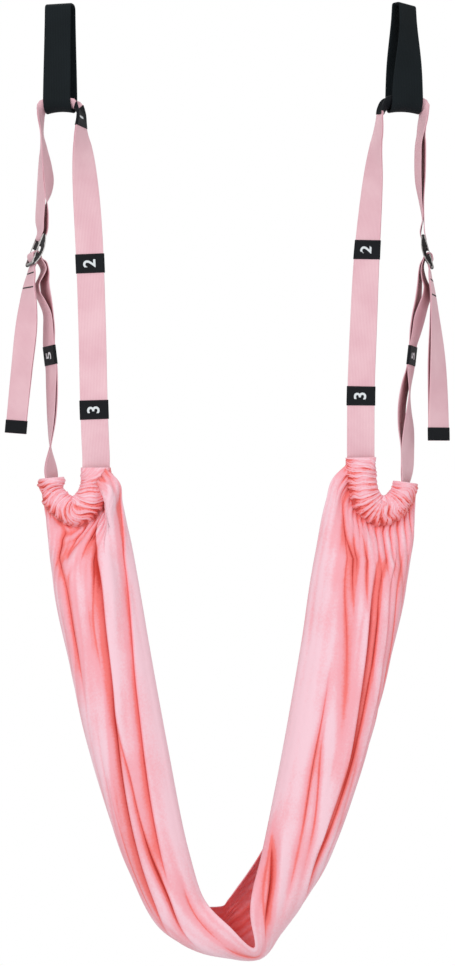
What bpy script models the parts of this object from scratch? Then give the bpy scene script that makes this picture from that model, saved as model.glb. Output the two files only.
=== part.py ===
"""Waist stretching strap: a gathered cloth sling carried by two doubled webbing straps.

Each side hangs from a black webbing loop. One long pink webbing is used doubled: its fold sits on
the top bar of a metal adjuster, both layers run up, over the bottom of the black loop, down the
front past the number labels, through the gathered channel of the sling, up the back, over the
friction bar of the adjuster and down as a free tail.

Metres, +Z up, +Y away from the viewer. The origin is midway between the inner tops of the two
black loops, where the bar that holds the strap up would pass.
"""
import math

import bmesh
import bpy
from mathutils import Matrix, Vector

MM = 0.001

# Webbing
WEBBING_WIDTH = 38 * MM
LAYER_THICKNESS = 1.2 * MM
SEAT_GAP = 0.3 * MM
DOUBLED_THICKNESS = 2 * LAYER_THICKNESS + 0.1 * MM
LAYER_STEP = LAYER_THICKNESS + SEAT_GAP
SHORTEST_STEP = 3.0

# Black hanging loops
LOOP_WIDTH = 38 * MM
LOOP_THICKNESS = 2.4 * MM
LOOP_HEIGHT = 147 * MM
LOOP_BOTTOM_DEPTH = 30 * MM
LOOP_SAG = 2.6 * MM
LOOP_TOP_FLAT = 7 * MM

# Number labels and tip labels
LABEL_LENGTH = 26.5 * MM
LABEL_WALL = 0.7 * MM
LABEL_PITCH = 200 * MM
LABEL_GAP = 0.5 * MM
CUPPED_LABEL_EASE = 0.8 * MM
JOINT_GAP = 0.8 * MM
TIP_LABEL_LENGTH = 18 * MM

# Adjuster
FRAME_INNER_WIDTH = 41 * MM
FRAME_BAR_SPACING = 40 * MM
FRAME_BAR_DIAMETER = 4.5 * MM
SIDE_PLATE_THICKNESS = 2.4 * MM
SIDE_PLATE_DEPTH = 10 * MM
FRICTION_BAR_DIAMETER = 6 * MM
FRICTION_PIN_DIAMETER = 3.6 * MM
FRICTION_BAR_REST = -8 * MM
FRICTION_BAR_TRAVEL = 10 * MM
PIN_CLEARANCE = 0.3 * MM

# Sling
CLOTH_THICKNESS = 1.4 * MM
SLING_MIDDLE_Y = 5.5 * MM
CHANNEL_WALL = 1.6 * MM
MOUTH_REACH = 14 * MM            # how far the back strap goes into the channel's mouth
CHANNEL_STRAP_INSETS = (10 * MM, 13 * MM)   # strap inside a channel stops short of its front and back mouths
CHANNEL_PLEATS = 11
CHANNEL_PLEAT_DEPTH = 1.3 * MM
CHANNEL_SWELL = 0.6 * MM
SLING_FOLDS = 5
SLING_FOLD_DEPTH = 6 * MM
SLING_COLUMNS = 20
SLING_ROWS = 29

LOOP_AXIS_HEIGHT = -(LOOP_HEIGHT - LOOP_THICKNESS / 2 - LOOP_BOTTOM_DEPTH / 2)

# Places of the parts of each side, in millimetres. A route's station is x, y, z, the heading of
# the webbing's width in degrees from +X towards +Y, and how far it is cupped, 1 being the saddle.
LEFT = {
    "name": "left",
    "cup_ease": 0.0,
    "label_one_rise": 14.3,
    "loop_x": -237.0,
    "loop_heading": -15.0,
    "loop_top_heading": -15.0,
    "loop_top_depth": 20.0,
    "loop_spread": 2.0,
    "frame_centre": (-271.4, 6.0, -338.4),
    "frame_across": (0.29, -0.957, 0.0),
    "frame_up": (0.344, 0.104, 0.93),
    "front": [
        (-206.9, -8.0, -170.0, 60, 0.0),
        (-204.8, -8.5, -200.0, 46, 0.0),
        (-202.0, -8.0, -241.0, 30, 0.0),
        (-198.6, -7.0, -290.0, 14, 0.0),
        (-196.0, -6.0, -338.0, 3, 0.0),
        (-192.2, -5.0, -449.0, 0, 0.0),
        (-189.7, -4.0, -559.7, 0, 0.0),
    ],
    "saddle_front": [
        (-208.0, -7.5, -160.0, 69, 0.25),
        (-210.0, -7.0, -151.5, 73, 0.5),
        (-213.3, -6.3, -145.6, 75, 0.85),
    ],
    "saddle_back": [
        (-260.7, 6.3, -145.6, 75, 0.85),
        (-263.6, 7.0, -151.5, 76, 0.5),
        (-265.0, 7.3, -160.0, 80, 0.25),
        (-264.6, 7.3, -170.0, 86, 0.0),
    ],
    "front_lower": [(-188.2, -3.5, -600.0, 0, 0.0), (-187.2, -3.0, -640.0, 0, 0.0)],
    "top_outer": [
        (-264.9, 7.2, -215.0, 98, 0.0),
        (-264.9, 6.6, -265.0, 105, 0.0),
        (-266.3, 6.6, -300.0, 107, 0.0),
    ],
    "top_inner": [
        (-259.0, 7.0, -192.0, 93, 0.0),
        (-250.8, 7.0, -224.0, 98, 0.0),
        (-256.0, 7.5, -258.0, 104, 0.0),
        (-259.4, 8.4, -295.0, 107, 0.0),
    ],
    "back_outer": [
        (-265.3, 7.8, -356.6, 107, 0.0),
        (-263.2, 8.5, -364.5, 106, 0.0),
        (-264.8, 8.0, -374.0, 105, 0.0),
        (-270.4, 6.6, -386.0, 105, 0.0),
        (-270.2, 6.8, -397.0, 106, 0.0),
        (-262.0, 9.0, -414.0, 109, 0.0),
        (-256.8, 10.4, -433.0, 112, 0.0),
        (-255.2, 11.0, -452.0, 115, 0.0),
    ],
    "back_inner": [
        (-262.9, 8.6, -356.4, 107, 0.0),
        (-259.0, 9.8, -367.0, 106, 0.0),
        (-257.8, 10.1, -384.0, 106, 0.0),
        (-256.4, 10.6, -408.0, 109, 0.0),
        (-254.2, 11.2, -433.0, 112, 0.0),
        (-253.2, 11.6, -452.0, 115, 0.0),
    ],
    "label_five": [(-254.9, 11.6, -469.0, 116, 0.0), (-251.5, 12.0, -499.0, 116, 0.0)],
    "lower_outer": [
        (-253.2, 10.8, -530.0, 114, 0.0),
        (-253.8, 8.8, -575.0, 105, 0.0),
        (-252.4, 7.0, -612.0, 99, 0.0),
    ],
    "lower_inner": [
        (-250.4, 10.8, -530.0, 114, 0.0),
        (-250.6, 8.8, -575.0, 105, 0.0),
        (-250.0, 7.0, -612.0, 99, 0.0),
    ],
    "tail": [
        (-277.8, 3.4, -372.0, 112, 0.0),
        (-280.4, 1.2, -388.0, 119, 0.0),
        (-281.6, -1.0, -415.0, 134, 0.0),
        (-283.0, -2.0, -436.0, 143, 0.0),
        (-290.0, -3.0, -505.0, 144, 0.0),
        (-297.0, -3.5, -575.0, 142, 0.0),
        (-298.6, -3.5, -593.0, 142, 0.0),
    ],
    "tail_bulge": 0.6,
    "channel": [
        (-187.0, -3.0, -632.0, 0, 0.0, 21.0, 8.5),
        (-188.6, -2.5, -664.0, 20, 0.0, 21.0, 17.0),
        (-198.0, -1.0, -688.0, 60, 0.0, 21.0, 21.0),
        (-216.0, 1.0, -702.0, 90, 0.0, 20.0, 21.0),
        (-234.5, 3.0, -694.0, 95, 0.0, 19.0, 21.0),
        (-246.6, 4.5, -674.0, 98, 0.0, 18.0, 21.0),
        (-249.7, 5.0, -651.0, 98, 0.0, 16.0, 21.0),
    ],
    "channel_inward": (-222.0, -668.0),
}

RIGHT = {
    "name": "right",
    "cup_ease": 1.0,
    "label_one_rise": 33.0,
    "loop_x": 240.0,
    "loop_heading": 15.0,
    "loop_top_heading": 48.0,
    "loop_top_depth": 12.0,
    "loop_spread": 7.0,
    "frame_centre": (273.2, 6.0, -340.5),
    "frame_across": (0.12, 0.993, 0.0),
    "frame_up": (-0.268, 0.032, 0.963),
    "front": [
        (208.9, -8.0, -170.0, 119, 0.0),
        (204.2, -8.5, -200.0, 128, 0.0),
        (197.6, -8.0, -241.0, 136, 0.0),
        (192.4, -7.0, -290.0, 144, 0.0),
        (188.6, -6.0, -337.0, 151, 0.0),
        (183.2, -5.0, -449.0, 164, 0.0),
        (179.9, -4.0, -546.0, 168, 0.0),
    ],
    "saddle_front": [
        (210.3, -7.6, -160.0, 111, 0.25),
        (212.0, -7.2, -151.5, 107, 0.5),
        (214.6, -6.7, -145.6, 105, 0.85),
    ],
    "saddle_back": [
        (265.4, 6.7, -145.6, 105, 0.85),
        (268.2, 7.2, -151.5, 104, 0.5),
        (268.6, 7.3, -160.0, 101, 0.25),
        (267.0, 7.3, -170.0, 98, 0.0),
    ],
    "front_lower": [(179.7, -3.5, -590.0, 173, 0.0), (179.9, -3.0, -634.0, 178, 0.0)],
    "top_outer": [
        (268.6, 7.2, -200.0, 99, 0.0),
        (270.2, 7.0, -236.0, 96, 0.0),
        (267.4, 6.6, -272.0, 90, 0.0),
        (268.6, 6.4, -300.0, 85, 0.0),
    ],
    "top_inner": [
        (263.6, 7.2, -195.0, 98, 0.0),
        (261.4, 7.0, -228.0, 95, 0.0),
        (261.6, 7.0, -270.0, 89, 0.0),
        (262.6, 7.0, -300.0, 84, 0.0),
    ],
    "back_outer": [
        (267.0, 6.8, -358.0, 83, 0.0),
        (267.4, 6.8, -366.0, 82, 0.0),
        (270.0, 6.5, -377.0, 81, 0.0),
        (274.2, 6.0, -388.0, 80, 0.0),
        (274.2, 6.3, -400.0, 79, 0.0),
        (267.6, 7.5, -414.0, 78, 0.0),
        (260.8, 8.7, -427.0, 77, 0.0),
        (257.4, 9.6, -447.0, 76, 0.0),
    ],
    "back_inner": [
        (264.4, 7.1, -358.6, 83, 0.0),
        (263.6, 7.3, -368.0, 82, 0.0),
        (262.6, 7.6, -384.0, 81, 0.0),
        (260.6, 8.2, -408.0, 79, 0.0),
        (257.6, 9.0, -430.0, 77, 0.0),
        (255.2, 9.6, -449.0, 76, 0.0),
    ],
    "label_five": [(254.1, 10.4, -469.0, 75, 0.0), (250.7, 10.6, -500.0, 75, 0.0)],
    "lower_outer": [
        (253.4, 10.8, -535.0, 79, 0.0),
        (252.4, 9.0, -580.0, 84, 0.0),
        (247.8, 7.0, -618.0, 88, 0.0),
    ],
    "lower_inner": [
        (243.4, 10.8, -530.0, 79, 0.0),
        (238.6, 9.0, -572.0, 84, 0.0),
        (241.4, 7.0, -614.0, 88, 0.0),
    ],
    "tail": [
        (277.0, 4.2, -374.0, 80, 0.0),
        (280.6, 2.0, -401.0, 75, 0.0),
        (282.7, 0.0, -435.0, 66, 0.0),
        (285.7, -1.0, -505.0, 49, 0.0),
        (287.8, -2.0, -588.0, 38, 0.0),
        (288.0, -2.0, -603.0, 38, 0.0),
    ],
    "tail_bulge": 3.0,
    "channel": [
        (179.8, -3.0, -626.0, 180, 0.0, 21.0, 8.5),
        (180.6, -2.5, -657.0, 160, 0.0, 20.6, 17.0),
        (187.2, -1.0, -684.0, 120, 0.0, 21.0, 20.8),
        (203.5, 1.0, -700.0, 90, 0.0, 20.0, 20.7),
        (223.3, 3.0, -694.5, 87, 0.0, 19.0, 21.0),
        (238.6, 4.5, -675.0, 86, 0.0, 18.0, 21.0),
        (243.6, 5.0, -651.0, 88, 0.0, 16.0, 21.0),
    ],
    "channel_inward": (213.0, -668.0),
}

# The sling between its two channels, in millimetres: x and z of the middle of the bundle, half its
# size across the bundle and half its depth, and the angles where the front and rear hems lie,
# from the inside of the U by way of the near side.
SLING_STATIONS = [
    (-193.0, -768.0, 57, 30, 14, 212),
    (-168.5, -893.0, 54, 34, 14, 240),
    (-133.0, -1046.0, 47, 36, 16, 275),
    (-93.0, -1182.0, 38, 40, 26, 305),
    (-59.0, -1252.0, 34, 44, 42, 325),
    (-8.0, -1283.0, 36, 48, 68, 338),
    (37.5, -1261.0, 46, 48, 118, 345),
    (87.5, -1186.0, 42, 42, 58, 335),
    (127.5, -1060.0, 51, 38, 30, 295),
    (159.0, -894.0, 60, 35, 16, 250),
    (181.0, -768.0, 61, 32, 14, 215),
]

SIDES = (LEFT, RIGHT)


def clear_scene():
    for item in list(bpy.data.objects):
        bpy.data.objects.remove(item, do_unlink=True)


def make_collection(name):
    collection = bpy.data.collections.new(name)
    bpy.context.scene.collection.children.link(collection)
    return collection


def make_material(name, colour, roughness, metallic=0.0):
    material = bpy.data.materials.new(name)
    material.use_nodes = True
    shader = material.node_tree.nodes["Principled BSDF"]
    shader.inputs["Base Color"].default_value = (*colour, 1.0)
    shader.inputs["Roughness"].default_value = roughness
    shader.inputs["Metallic"].default_value = metallic
    return material


def add_mesh_object(name, mesh, collection, material):
    mesh.materials.append(material)
    item = bpy.data.objects.new(name, mesh)
    collection.objects.link(item)
    return item


def spline(keys, steps, knots=None):
    """Smooth curve through the rows of numbers in keys, with up to steps samples to each span."""
    if knots is None:
        points = [Vector(key[:3]) for key in keys]
        knots = [0.0]
        for before, after in zip(points, points[1:]):
            knots.append(knots[-1] + (after - before).length)
    slopes = []
    last = len(keys) - 1
    for index in range(last + 1):
        low = max(index - 1, 0)
        high = min(index + 1, last)
        left = knots[index] - knots[low]
        right = knots[high] - knots[index]
        slope = []
        for before, here, after in zip(keys[low], keys[index], keys[high]):
            rise_left = (here - before) / left if left else 0.0
            rise_right = (after - here) / right if right else 0.0
            slope.append((rise_left * right + rise_right * left) / (left + right)
                         if left and right else rise_left + rise_right)
        slopes.append(slope)
    rows = []
    for index in range(last):
        span = knots[index + 1] - knots[index]
        count = max(1, min(steps, math.ceil(span / SHORTEST_STEP)))
        rows.append(list(keys[index]))
        for step in range(1, count):
            t = step / count
            first = 2 * t ** 3 - 3 * t * t + 1
            second = t ** 3 - 2 * t * t + t
            third = t ** 3 - t * t
            rows.append([
                first * a + second * span * b + (1 - first) * c + third * span * d
                for a, b, c, d in zip(keys[index], slopes[index], keys[index + 1], slopes[index + 1])
            ])
    rows.append(list(keys[last]))
    return rows


def sheet(name, rows, thickness, collection, material, wrap_rows=False, wrap_columns=False,
          even=True):
    """A closed solid from a grid of points on its middle surface, thickened both ways."""
    mesh = bpy.data.meshes.new(name)
    shell = bmesh.new()
    grid = [[shell.verts.new(point) for point in row] for row in rows]
    row_count = len(grid)
    column_count = len(grid[0])
    for i in range(row_count if wrap_rows else row_count - 1):
        for j in range(column_count if wrap_columns else column_count - 1):
            this_row = grid[i]
            next_row = grid[(i + 1) % row_count]
            k = (j + 1) % column_count
            shell.faces.new((this_row[j], this_row[k], next_row[k], next_row[j]))
    bmesh.ops.recalc_face_normals(shell, faces=shell.faces)
    shell.to_mesh(mesh)
    shell.free()
    item = add_mesh_object(name, mesh, collection, material)
    solid = item.modifiers.new("Thickness", "SOLIDIFY")
    solid.thickness = thickness
    solid.offset = 0.0
    solid.use_even_offset = even
    return item


def make_route(stations):
    """Centre, width direction, face direction and bend at each station of a webbing route."""
    centres = [Vector(station[:3]) * MM for station in stations]
    route = []
    for index, centre in enumerate(centres):
        ahead = centres[min(index + 1, len(centres) - 1)]
        behind = centres[max(index - 1, 0)]
        tangent = (ahead - behind).normalized()
        heading = math.radians(stations[index][3])
        across = Vector((math.cos(heading), math.sin(heading), 0.0))
        across = (across - tangent * across.dot(tangent)).normalized()
        face = across.cross(tangent).normalized()
        route.append((centre, across, face, stations[index][4]))
    return route


def route_length(route):
    return sum((after[0] - before[0]).length for before, after in zip(route, route[1:]))


def route_point(route, distance):
    """The route at a distance along it."""
    travelled = 0.0
    for index, (before, after) in enumerate(zip(route, route[1:])):
        span = (after[0] - before[0]).length
        if distance <= travelled + span or index == len(route) - 2:
            t = (distance - travelled) / span
            centre = before[0].lerp(after[0], t)
            across = before[1].lerp(after[1], t).normalized()
            face = before[2].lerp(after[2], t).normalized()
            return (centre, across, face, before[3] + (after[3] - before[3]) * t)
        travelled += span


def trim(route, start, end):
    """The part of a route between two distances along it."""
    margin = 0.5 * MM
    inside = []
    travelled = 0.0
    for index, point in enumerate(route):
        if index:
            travelled += (point[0] - route[index - 1][0]).length
        if start + margin < travelled < end - margin:
            inside.append(point)
    return [route_point(route, start)] + inside + [route_point(route, end)]


def webbing_rows(route, columns, offset=0.0, half_width=WEBBING_WIDTH / 2):
    """Points across the webbing at each station, cupped about the face direction."""
    rows = []
    for centre, across, face, bend in route:
        row = []
        for column in range(columns + 1):
            reach = half_width * (2 * column / columns - 1)
            if abs(bend) < 1.0:
                point = centre + across * reach + face * offset
            else:
                radius = 1 / bend
                angle = reach / radius
                lift = radius - (radius - offset) * math.cos(angle)
                point = centre + across * ((radius - offset) * math.sin(angle)) + face * lift
            row.append(point)
        rows.append(row)
    return rows


def webbing(name, route, thickness, collection, material, columns=1):
    return sheet(name, webbing_rows(route, columns), thickness, collection, material)


def label_sleeve(name, route, middle, length, collection, material, inner_thickness, columns=1,
                 ease=0.0):
    """A label wrapped round the webbing, centred at a distance along the route."""
    keys = trim(route, middle - length / 2, middle + length / 2)
    wall = LABEL_GAP + ease + LABEL_WALL / 2
    half_width = WEBBING_WIDTH / 2 + wall
    half_depth = inner_thickness / 2 + wall
    near = webbing_rows(keys, columns, half_depth, half_width)
    far = webbing_rows(keys, columns, -half_depth, half_width)
    rows = [front + back[::-1] for front, back in zip(near, far)]
    return sheet(name, rows, LABEL_WALL, collection, material, wrap_columns=True)


def hanging_loop(side, collection, material):
    """The black webbing loop, wide at its round bottom, narrower at its flat top."""
    half_bottom = LOOP_BOTTOM_DEPTH / 2
    half_top = side["loop_top_depth"] * MM / 2
    top_height = LOOP_THICKNESS / 2
    outline = []
    for step in range(-6, 7):
        angle = math.radians(15 * step)
        outline.append((half_bottom * math.sin(angle), LOOP_AXIS_HEIGHT - half_bottom * math.cos(angle)))
    shoulder = half_top - LOOP_TOP_FLAT / 2
    rise = top_height - LOOP_AXIS_HEIGHT
    right_wall = []
    for share in (0.2, 0.4, 0.6, 0.8):
        depth = half_bottom + (half_top - half_bottom) * share
        right_wall.append((depth, LOOP_AXIS_HEIGHT + (rise - shoulder) * share))
    for angle in (0, 30, 60, 90):
        turn = math.radians(angle)
        right_wall.append((
            LOOP_TOP_FLAT / 2 + shoulder * math.cos(turn),
            top_height - shoulder + shoulder * math.sin(turn),
        ))
    outline += right_wall
    outline += [(-depth, height) for depth, height in reversed(right_wall)]
    rows = []
    for depth, height in outline:
        share = min(max((height - LOOP_AXIS_HEIGHT) / (rise * 0.9), 0.0), 1.0)
        share = share * share * (3 - 2 * share)
        heading = math.radians(
            side["loop_heading"] + (side["loop_top_heading"] - side["loop_heading"]) * share)
        along = Vector((math.cos(heading), math.sin(heading), 0.0))
        away = Vector((-math.sin(heading), math.cos(heading), 0.0))
        half_width = (LOOP_WIDTH + side["loop_spread"] * MM * (1 - share)) / 2
        low = max(0.0, (LOOP_AXIS_HEIGHT - height) / half_bottom)
        centre = Vector((side["loop_x"] * MM, 0.0, height)) + away * depth
        row = []
        for position in (-1.0, -0.5, 0.0, 0.5, 1.0):
            drop = LOOP_SAG * low * position * position
            row.append(centre + along * (half_width * position) - Vector((0.0, 0.0, drop)))
        rows.append(row)
    name = side["name"] + "_hanging_loop"
    return sheet(name, rows, LOOP_THICKNESS, collection, material, wrap_rows=True)


def cup_radius(side):
    """Radius of the cupped webbing where it sits in the bottom of a black loop."""
    inside = (LOOP_BOTTOM_DEPTH - LOOP_THICKNESS) / 2
    ease = (LABEL_GAP + CUPPED_LABEL_EASE + LABEL_WALL) * side["cup_ease"]
    return inside - DOUBLED_THICKNESS / 2 - SEAT_GAP - ease


def saddle_stations(side):
    """Over the bottom of the black loop, from the front strap to the top strap."""
    along = math.radians(side["loop_heading"])
    inward = 1 if side["name"] == "left" else -1
    half_length = (LOOP_WIDTH / MM + side["loop_spread"]) / 2 + 0.7
    middle = []
    for share in (1.0, 0.33, -0.33, -1.0):
        reach = half_length * share * inward
        middle.append((
            side["loop_x"] + reach * math.cos(along),
            reach * math.sin(along),
            (LOOP_AXIS_HEIGHT - cup_radius(side)) / MM,
            side["loop_heading"] + 90,
            1.0,
        ))
    return side["saddle_front"] + middle + side["saddle_back"]


def frame_matrix(side):
    across = Vector(side["frame_across"]).normalized()
    up = Vector(side["frame_up"])
    up = (up - across * up.dot(across)).normalized()
    inward = up.cross(across)
    rotation = Matrix((across, inward, up)).transposed().to_4x4()
    return Matrix.Translation(Vector(side["frame_centre"]) * MM) @ rotation


def side_plate_outline():
    """Side plate in its own plane: straight outer edge, bowed inner edge, with the pin slot."""
    half_length = FRAME_BAR_SPACING / 2
    radius = FRAME_BAR_DIAMETER / 2 + 0.6 * MM
    bow = SIDE_PLATE_DEPTH - 2 * radius
    outline = []
    for step in range(7):
        angle = math.pi * step / 6
        outline.append((-radius * math.cos(angle), half_length + radius * math.sin(angle)))
    for step in range(1, 8):
        share = step / 8
        outline.append((radius + bow * math.sin(math.pi * share), half_length * (1 - 2 * share)))
    for step in range(7):
        angle = math.pi * step / 6
        outline.append((radius * math.cos(angle), -half_length - radius * math.sin(angle)))
    return outline


def pin_slot():
    """The slot that the friction bar's pins slide in."""
    half_slot = FRICTION_PIN_DIAMETER / 2 + PIN_CLEARANCE
    low = FRICTION_BAR_REST
    high = FRICTION_BAR_REST + FRICTION_BAR_TRAVEL
    points = []
    for step in range(7):
        angle = math.pi * step / 6
        points.append((-half_slot * math.cos(angle), high + half_slot * math.sin(angle)))
    for step in range(7):
        angle = math.pi * step / 6
        points.append((half_slot * math.cos(angle), low - half_slot * math.sin(angle)))
    return points


def curve_plate(name, outlines, thickness):
    """A flat plate from closed outlines, the later ones being its holes."""
    curve = bpy.data.curves.new(name, "CURVE")
    curve.dimensions = "2D"
    curve.fill_mode = "BOTH"
    curve.extrude = thickness / 2
    curve.resolution_u = 1
    curve.render_resolution_u = 0
    for outline in outlines:
        path = curve.splines.new("POLY")
        path.points.add(len(outline) - 1)
        for point, (x, y) in zip(path.points, outline):
            point.co = (x, y, 0.0, 1.0)
        path.use_cyclic_u = True
    return curve


def mesh_from_curve(curve, matrix):
    """The mesh of a flat curve, welded and placed by the matrix."""
    guide = bpy.data.objects.new(curve.name, curve)
    bpy.context.scene.collection.objects.link(guide)
    bpy.context.view_layer.update()
    evaluated = guide.evaluated_get(bpy.context.evaluated_depsgraph_get())
    mesh = bpy.data.meshes.new_from_object(evaluated)
    shape = bmesh.new()
    shape.from_mesh(mesh)
    bmesh.ops.remove_doubles(shape, verts=shape.verts, dist=0.00001)
    bmesh.ops.transform(shape, matrix=matrix, verts=shape.verts)
    bmesh.ops.recalc_face_normals(shape, faces=shape.faces)
    shape.to_mesh(mesh)
    shape.free()
    bpy.data.objects.remove(guide, do_unlink=True)
    return mesh


def cylinder_mesh(name, radius, length, matrix, sides):
    """A closed cylinder along its own Z, placed by the matrix."""
    mesh = bpy.data.meshes.new(name)
    shape = bmesh.new()
    bmesh.ops.create_cone(
        shape, cap_ends=True, segments=sides, radius1=radius, radius2=radius, depth=length,
        matrix=matrix)
    shape.to_mesh(mesh)
    shape.free()
    return mesh


def union(item, other_mesh, name, cutters):
    """Joins another mesh to the object with a Boolean."""
    tool = bpy.data.objects.new(name, other_mesh)
    cutters.objects.link(tool)
    tool.hide_render = True
    tool.display_type = "WIRE"
    tool.matrix_world = item.matrix_world
    joint = item.modifiers.new(name, "BOOLEAN")
    joint.operation = "UNION"
    joint.object = tool
    return tool


def adjuster_frame(side, collection, cutters, material):
    """Two slotted side plates joined by a bar at each end."""
    name = side["name"] + "_adjuster_frame"
    stand = Matrix(((0, 0, 1, 0), (1, 0, 0, 0), (0, 1, 0, 0), (0, 0, 0, 1)))
    plate_place = (FRAME_INNER_WIDTH + SIDE_PLATE_THICKNESS) / 2
    outlines = [side_plate_outline(), pin_slot()]
    meshes = []
    for sign in (-1, 1):
        curve = curve_plate(name + "_plate", outlines, SIDE_PLATE_THICKNESS)
        shift = Matrix.Translation((sign * plate_place, 0.0, 0.0))
        meshes.append(mesh_from_curve(curve, shift @ stand))
    place = frame_matrix(side)
    item = add_mesh_object(name, meshes[0], collection, material)
    item.matrix_world = place
    union(item, meshes[1], name + "_far_plate", cutters)
    lie = Matrix.Rotation(math.pi / 2, 4, "Y")
    bar_length = FRAME_INNER_WIDTH + SIDE_PLATE_THICKNESS
    for height, label in ((FRAME_BAR_SPACING / 2, "_top_bar"), (-FRAME_BAR_SPACING / 2, "_bottom_bar")):
        matrix = Matrix.Translation((0.0, 0.0, height)) @ lie
        bar = cylinder_mesh(name + label, FRAME_BAR_DIAMETER / 2, bar_length, matrix, 14)
        union(item, bar, name + label, cutters)
    return item


def friction_bar(side, collection, material):
    """The sliding bar: a thick middle with a thinner pin at each end, turned in one piece."""
    name = side["name"] + "_friction_bar"
    half_inside = FRAME_INNER_WIDTH / 2 - PIN_CLEARANCE
    half_total = FRAME_INNER_WIDTH / 2 + SIDE_PLATE_THICKNESS
    thick = FRICTION_BAR_DIAMETER / 2
    thin = FRICTION_PIN_DIAMETER / 2
    profile = [
        (0.0, half_total), (thin, half_total), (thin, half_inside), (thick, half_inside),
        (thick, -half_inside), (thin, -half_inside), (thin, -half_total), (0.0, -half_total),
    ]
    mesh = bpy.data.meshes.new(name)
    shape = bmesh.new()
    corners = [shape.verts.new((radius, 0.0, height)) for radius, height in profile]
    for before, after in zip(corners, corners[1:]):
        shape.edges.new((before, after))
    shape.to_mesh(mesh)
    shape.free()
    item = add_mesh_object(name, mesh, collection, material)
    turn = item.modifiers.new("Turned profile", "SCREW")
    turn.angle = 2 * math.pi
    turn.steps = 14
    turn.render_steps = 14
    turn.axis = "Z"
    turn.use_merge_vertices = True
    turn.merge_threshold = 0.00001
    place = frame_matrix(side)
    rest = Matrix.Translation((0.0, 0.0, FRICTION_BAR_REST))
    item.matrix_world = place @ rest @ Matrix.Rotation(math.pi / 2, 4, "Y")
    return item


def frame_station(side, inward, up, cup=0.0):
    """A route station at a point of the adjuster's own cross-section, in metres."""
    place = frame_matrix(side)
    point = place @ Vector((0.0, inward, up)) / MM
    across = place.to_3x3() @ Vector((1.0, 0.0, 0.0))
    heading = math.degrees(math.atan2(across.y, across.x)) % 180
    return (*point, heading, cup)


def friction_wrap_stations(side):
    """Doubled webbing over the friction bar and out past the inner side of the bottom bar."""
    wrap = FRICTION_BAR_DIAMETER / 2 + SEAT_GAP + DOUBLED_THICKNESS / 2
    seat = FRAME_BAR_DIAMETER / 2 + SEAT_GAP + DOUBLED_THICKNESS / 2
    low = -FRAME_BAR_SPACING / 2
    spacing = FRICTION_BAR_REST - low
    cross = math.asin((wrap + seat) / spacing)
    keys = [(wrap + 4.1 * MM, FRICTION_BAR_REST - 2.2 * MM), (wrap + 1.8 * MM, FRICTION_BAR_REST + 0.7 * MM)]
    first = math.radians(50)
    turns = 8
    for step in range(turns + 1):
        angle = first + (math.pi + math.pi / 2 - cross - first) * step / turns
        keys.append((wrap * math.cos(angle), FRICTION_BAR_REST + wrap * math.sin(angle)))
    for step in range(4):
        angle = (math.pi / 2 - cross) * (1 - step / 3)
        keys.append((seat * math.cos(angle), low + seat * math.sin(angle)))
    keys.append((seat, low - 2 * MM))
    return [frame_station(side, inward, up) for inward, up in keys]


def top_fold_stations(side):
    """The turn of a single layer round the top bar, from its outer to its inner side."""
    seat = FRAME_BAR_DIAMETER / 2 + SEAT_GAP + LAYER_THICKNESS / 2
    high = FRAME_BAR_SPACING / 2
    stations = [frame_station(side, -seat, high + 4 * MM), frame_station(side, -seat, high + 1 * MM)]
    for step in range(9):
        angle = math.pi * step / 8
        stations.append(frame_station(side, -seat * math.cos(angle), high - seat * math.sin(angle)))
    stations.append(frame_station(side, seat, high + 1 * MM))
    return stations


def wave(value):
    return math.cos(2 * math.pi * value)


def channel_rows(side, count, columns):
    """The gathered channel of the sling: a soft tube round the bottom of the strap loop."""
    keys = [(x, y, z, across, depth) for x, y, z, _, _, across, depth in side["channel"]]
    path = spline(keys, count)
    centres = [Vector(row[:3]) * MM for row in path]
    travelled = 0.0
    whole = sum((after - before).length for before, after in zip(centres, centres[1:]))
    rows = []
    for index, centre in enumerate(centres):
        ahead = centres[min(index + 1, len(centres) - 1)]
        behind = centres[max(index - 1, 0)]
        if index:
            travelled += (centre - behind).length if index == 1 else (centre - centres[index - 1]).length
        tangent = (ahead - behind).normalized()
        outward = Vector((0.0, 1.0, 0.0)).cross(tangent).normalized()
        far = tangent.cross(outward).normalized()
        share = travelled / whole
        calm = min(1.0, 8 * share, 8 * (1 - share))
        row = []
        for column in range(columns):
            angle = 2 * math.pi * column / columns
            pleat = 1 + wave(CHANNEL_PLEATS * share + 0.35 * math.sin(angle + 5 * share))
            swell = CHANNEL_SWELL * (1 + math.sin(2 * angle + 9 * share))
            puff = calm * (CHANNEL_PLEAT_DEPTH * pleat + swell)
            cosine = math.cos(angle)
            sine = math.sin(angle)
            across = (path[index][3] * MM + puff) * math.copysign(abs(cosine) ** 0.85, cosine)
            depth = (path[index][4] * MM + puff) * math.copysign(abs(sine) ** 0.85, sine)
            row.append(centre + outward * across + far * depth)
        rows.append(row)
    return rows


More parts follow.
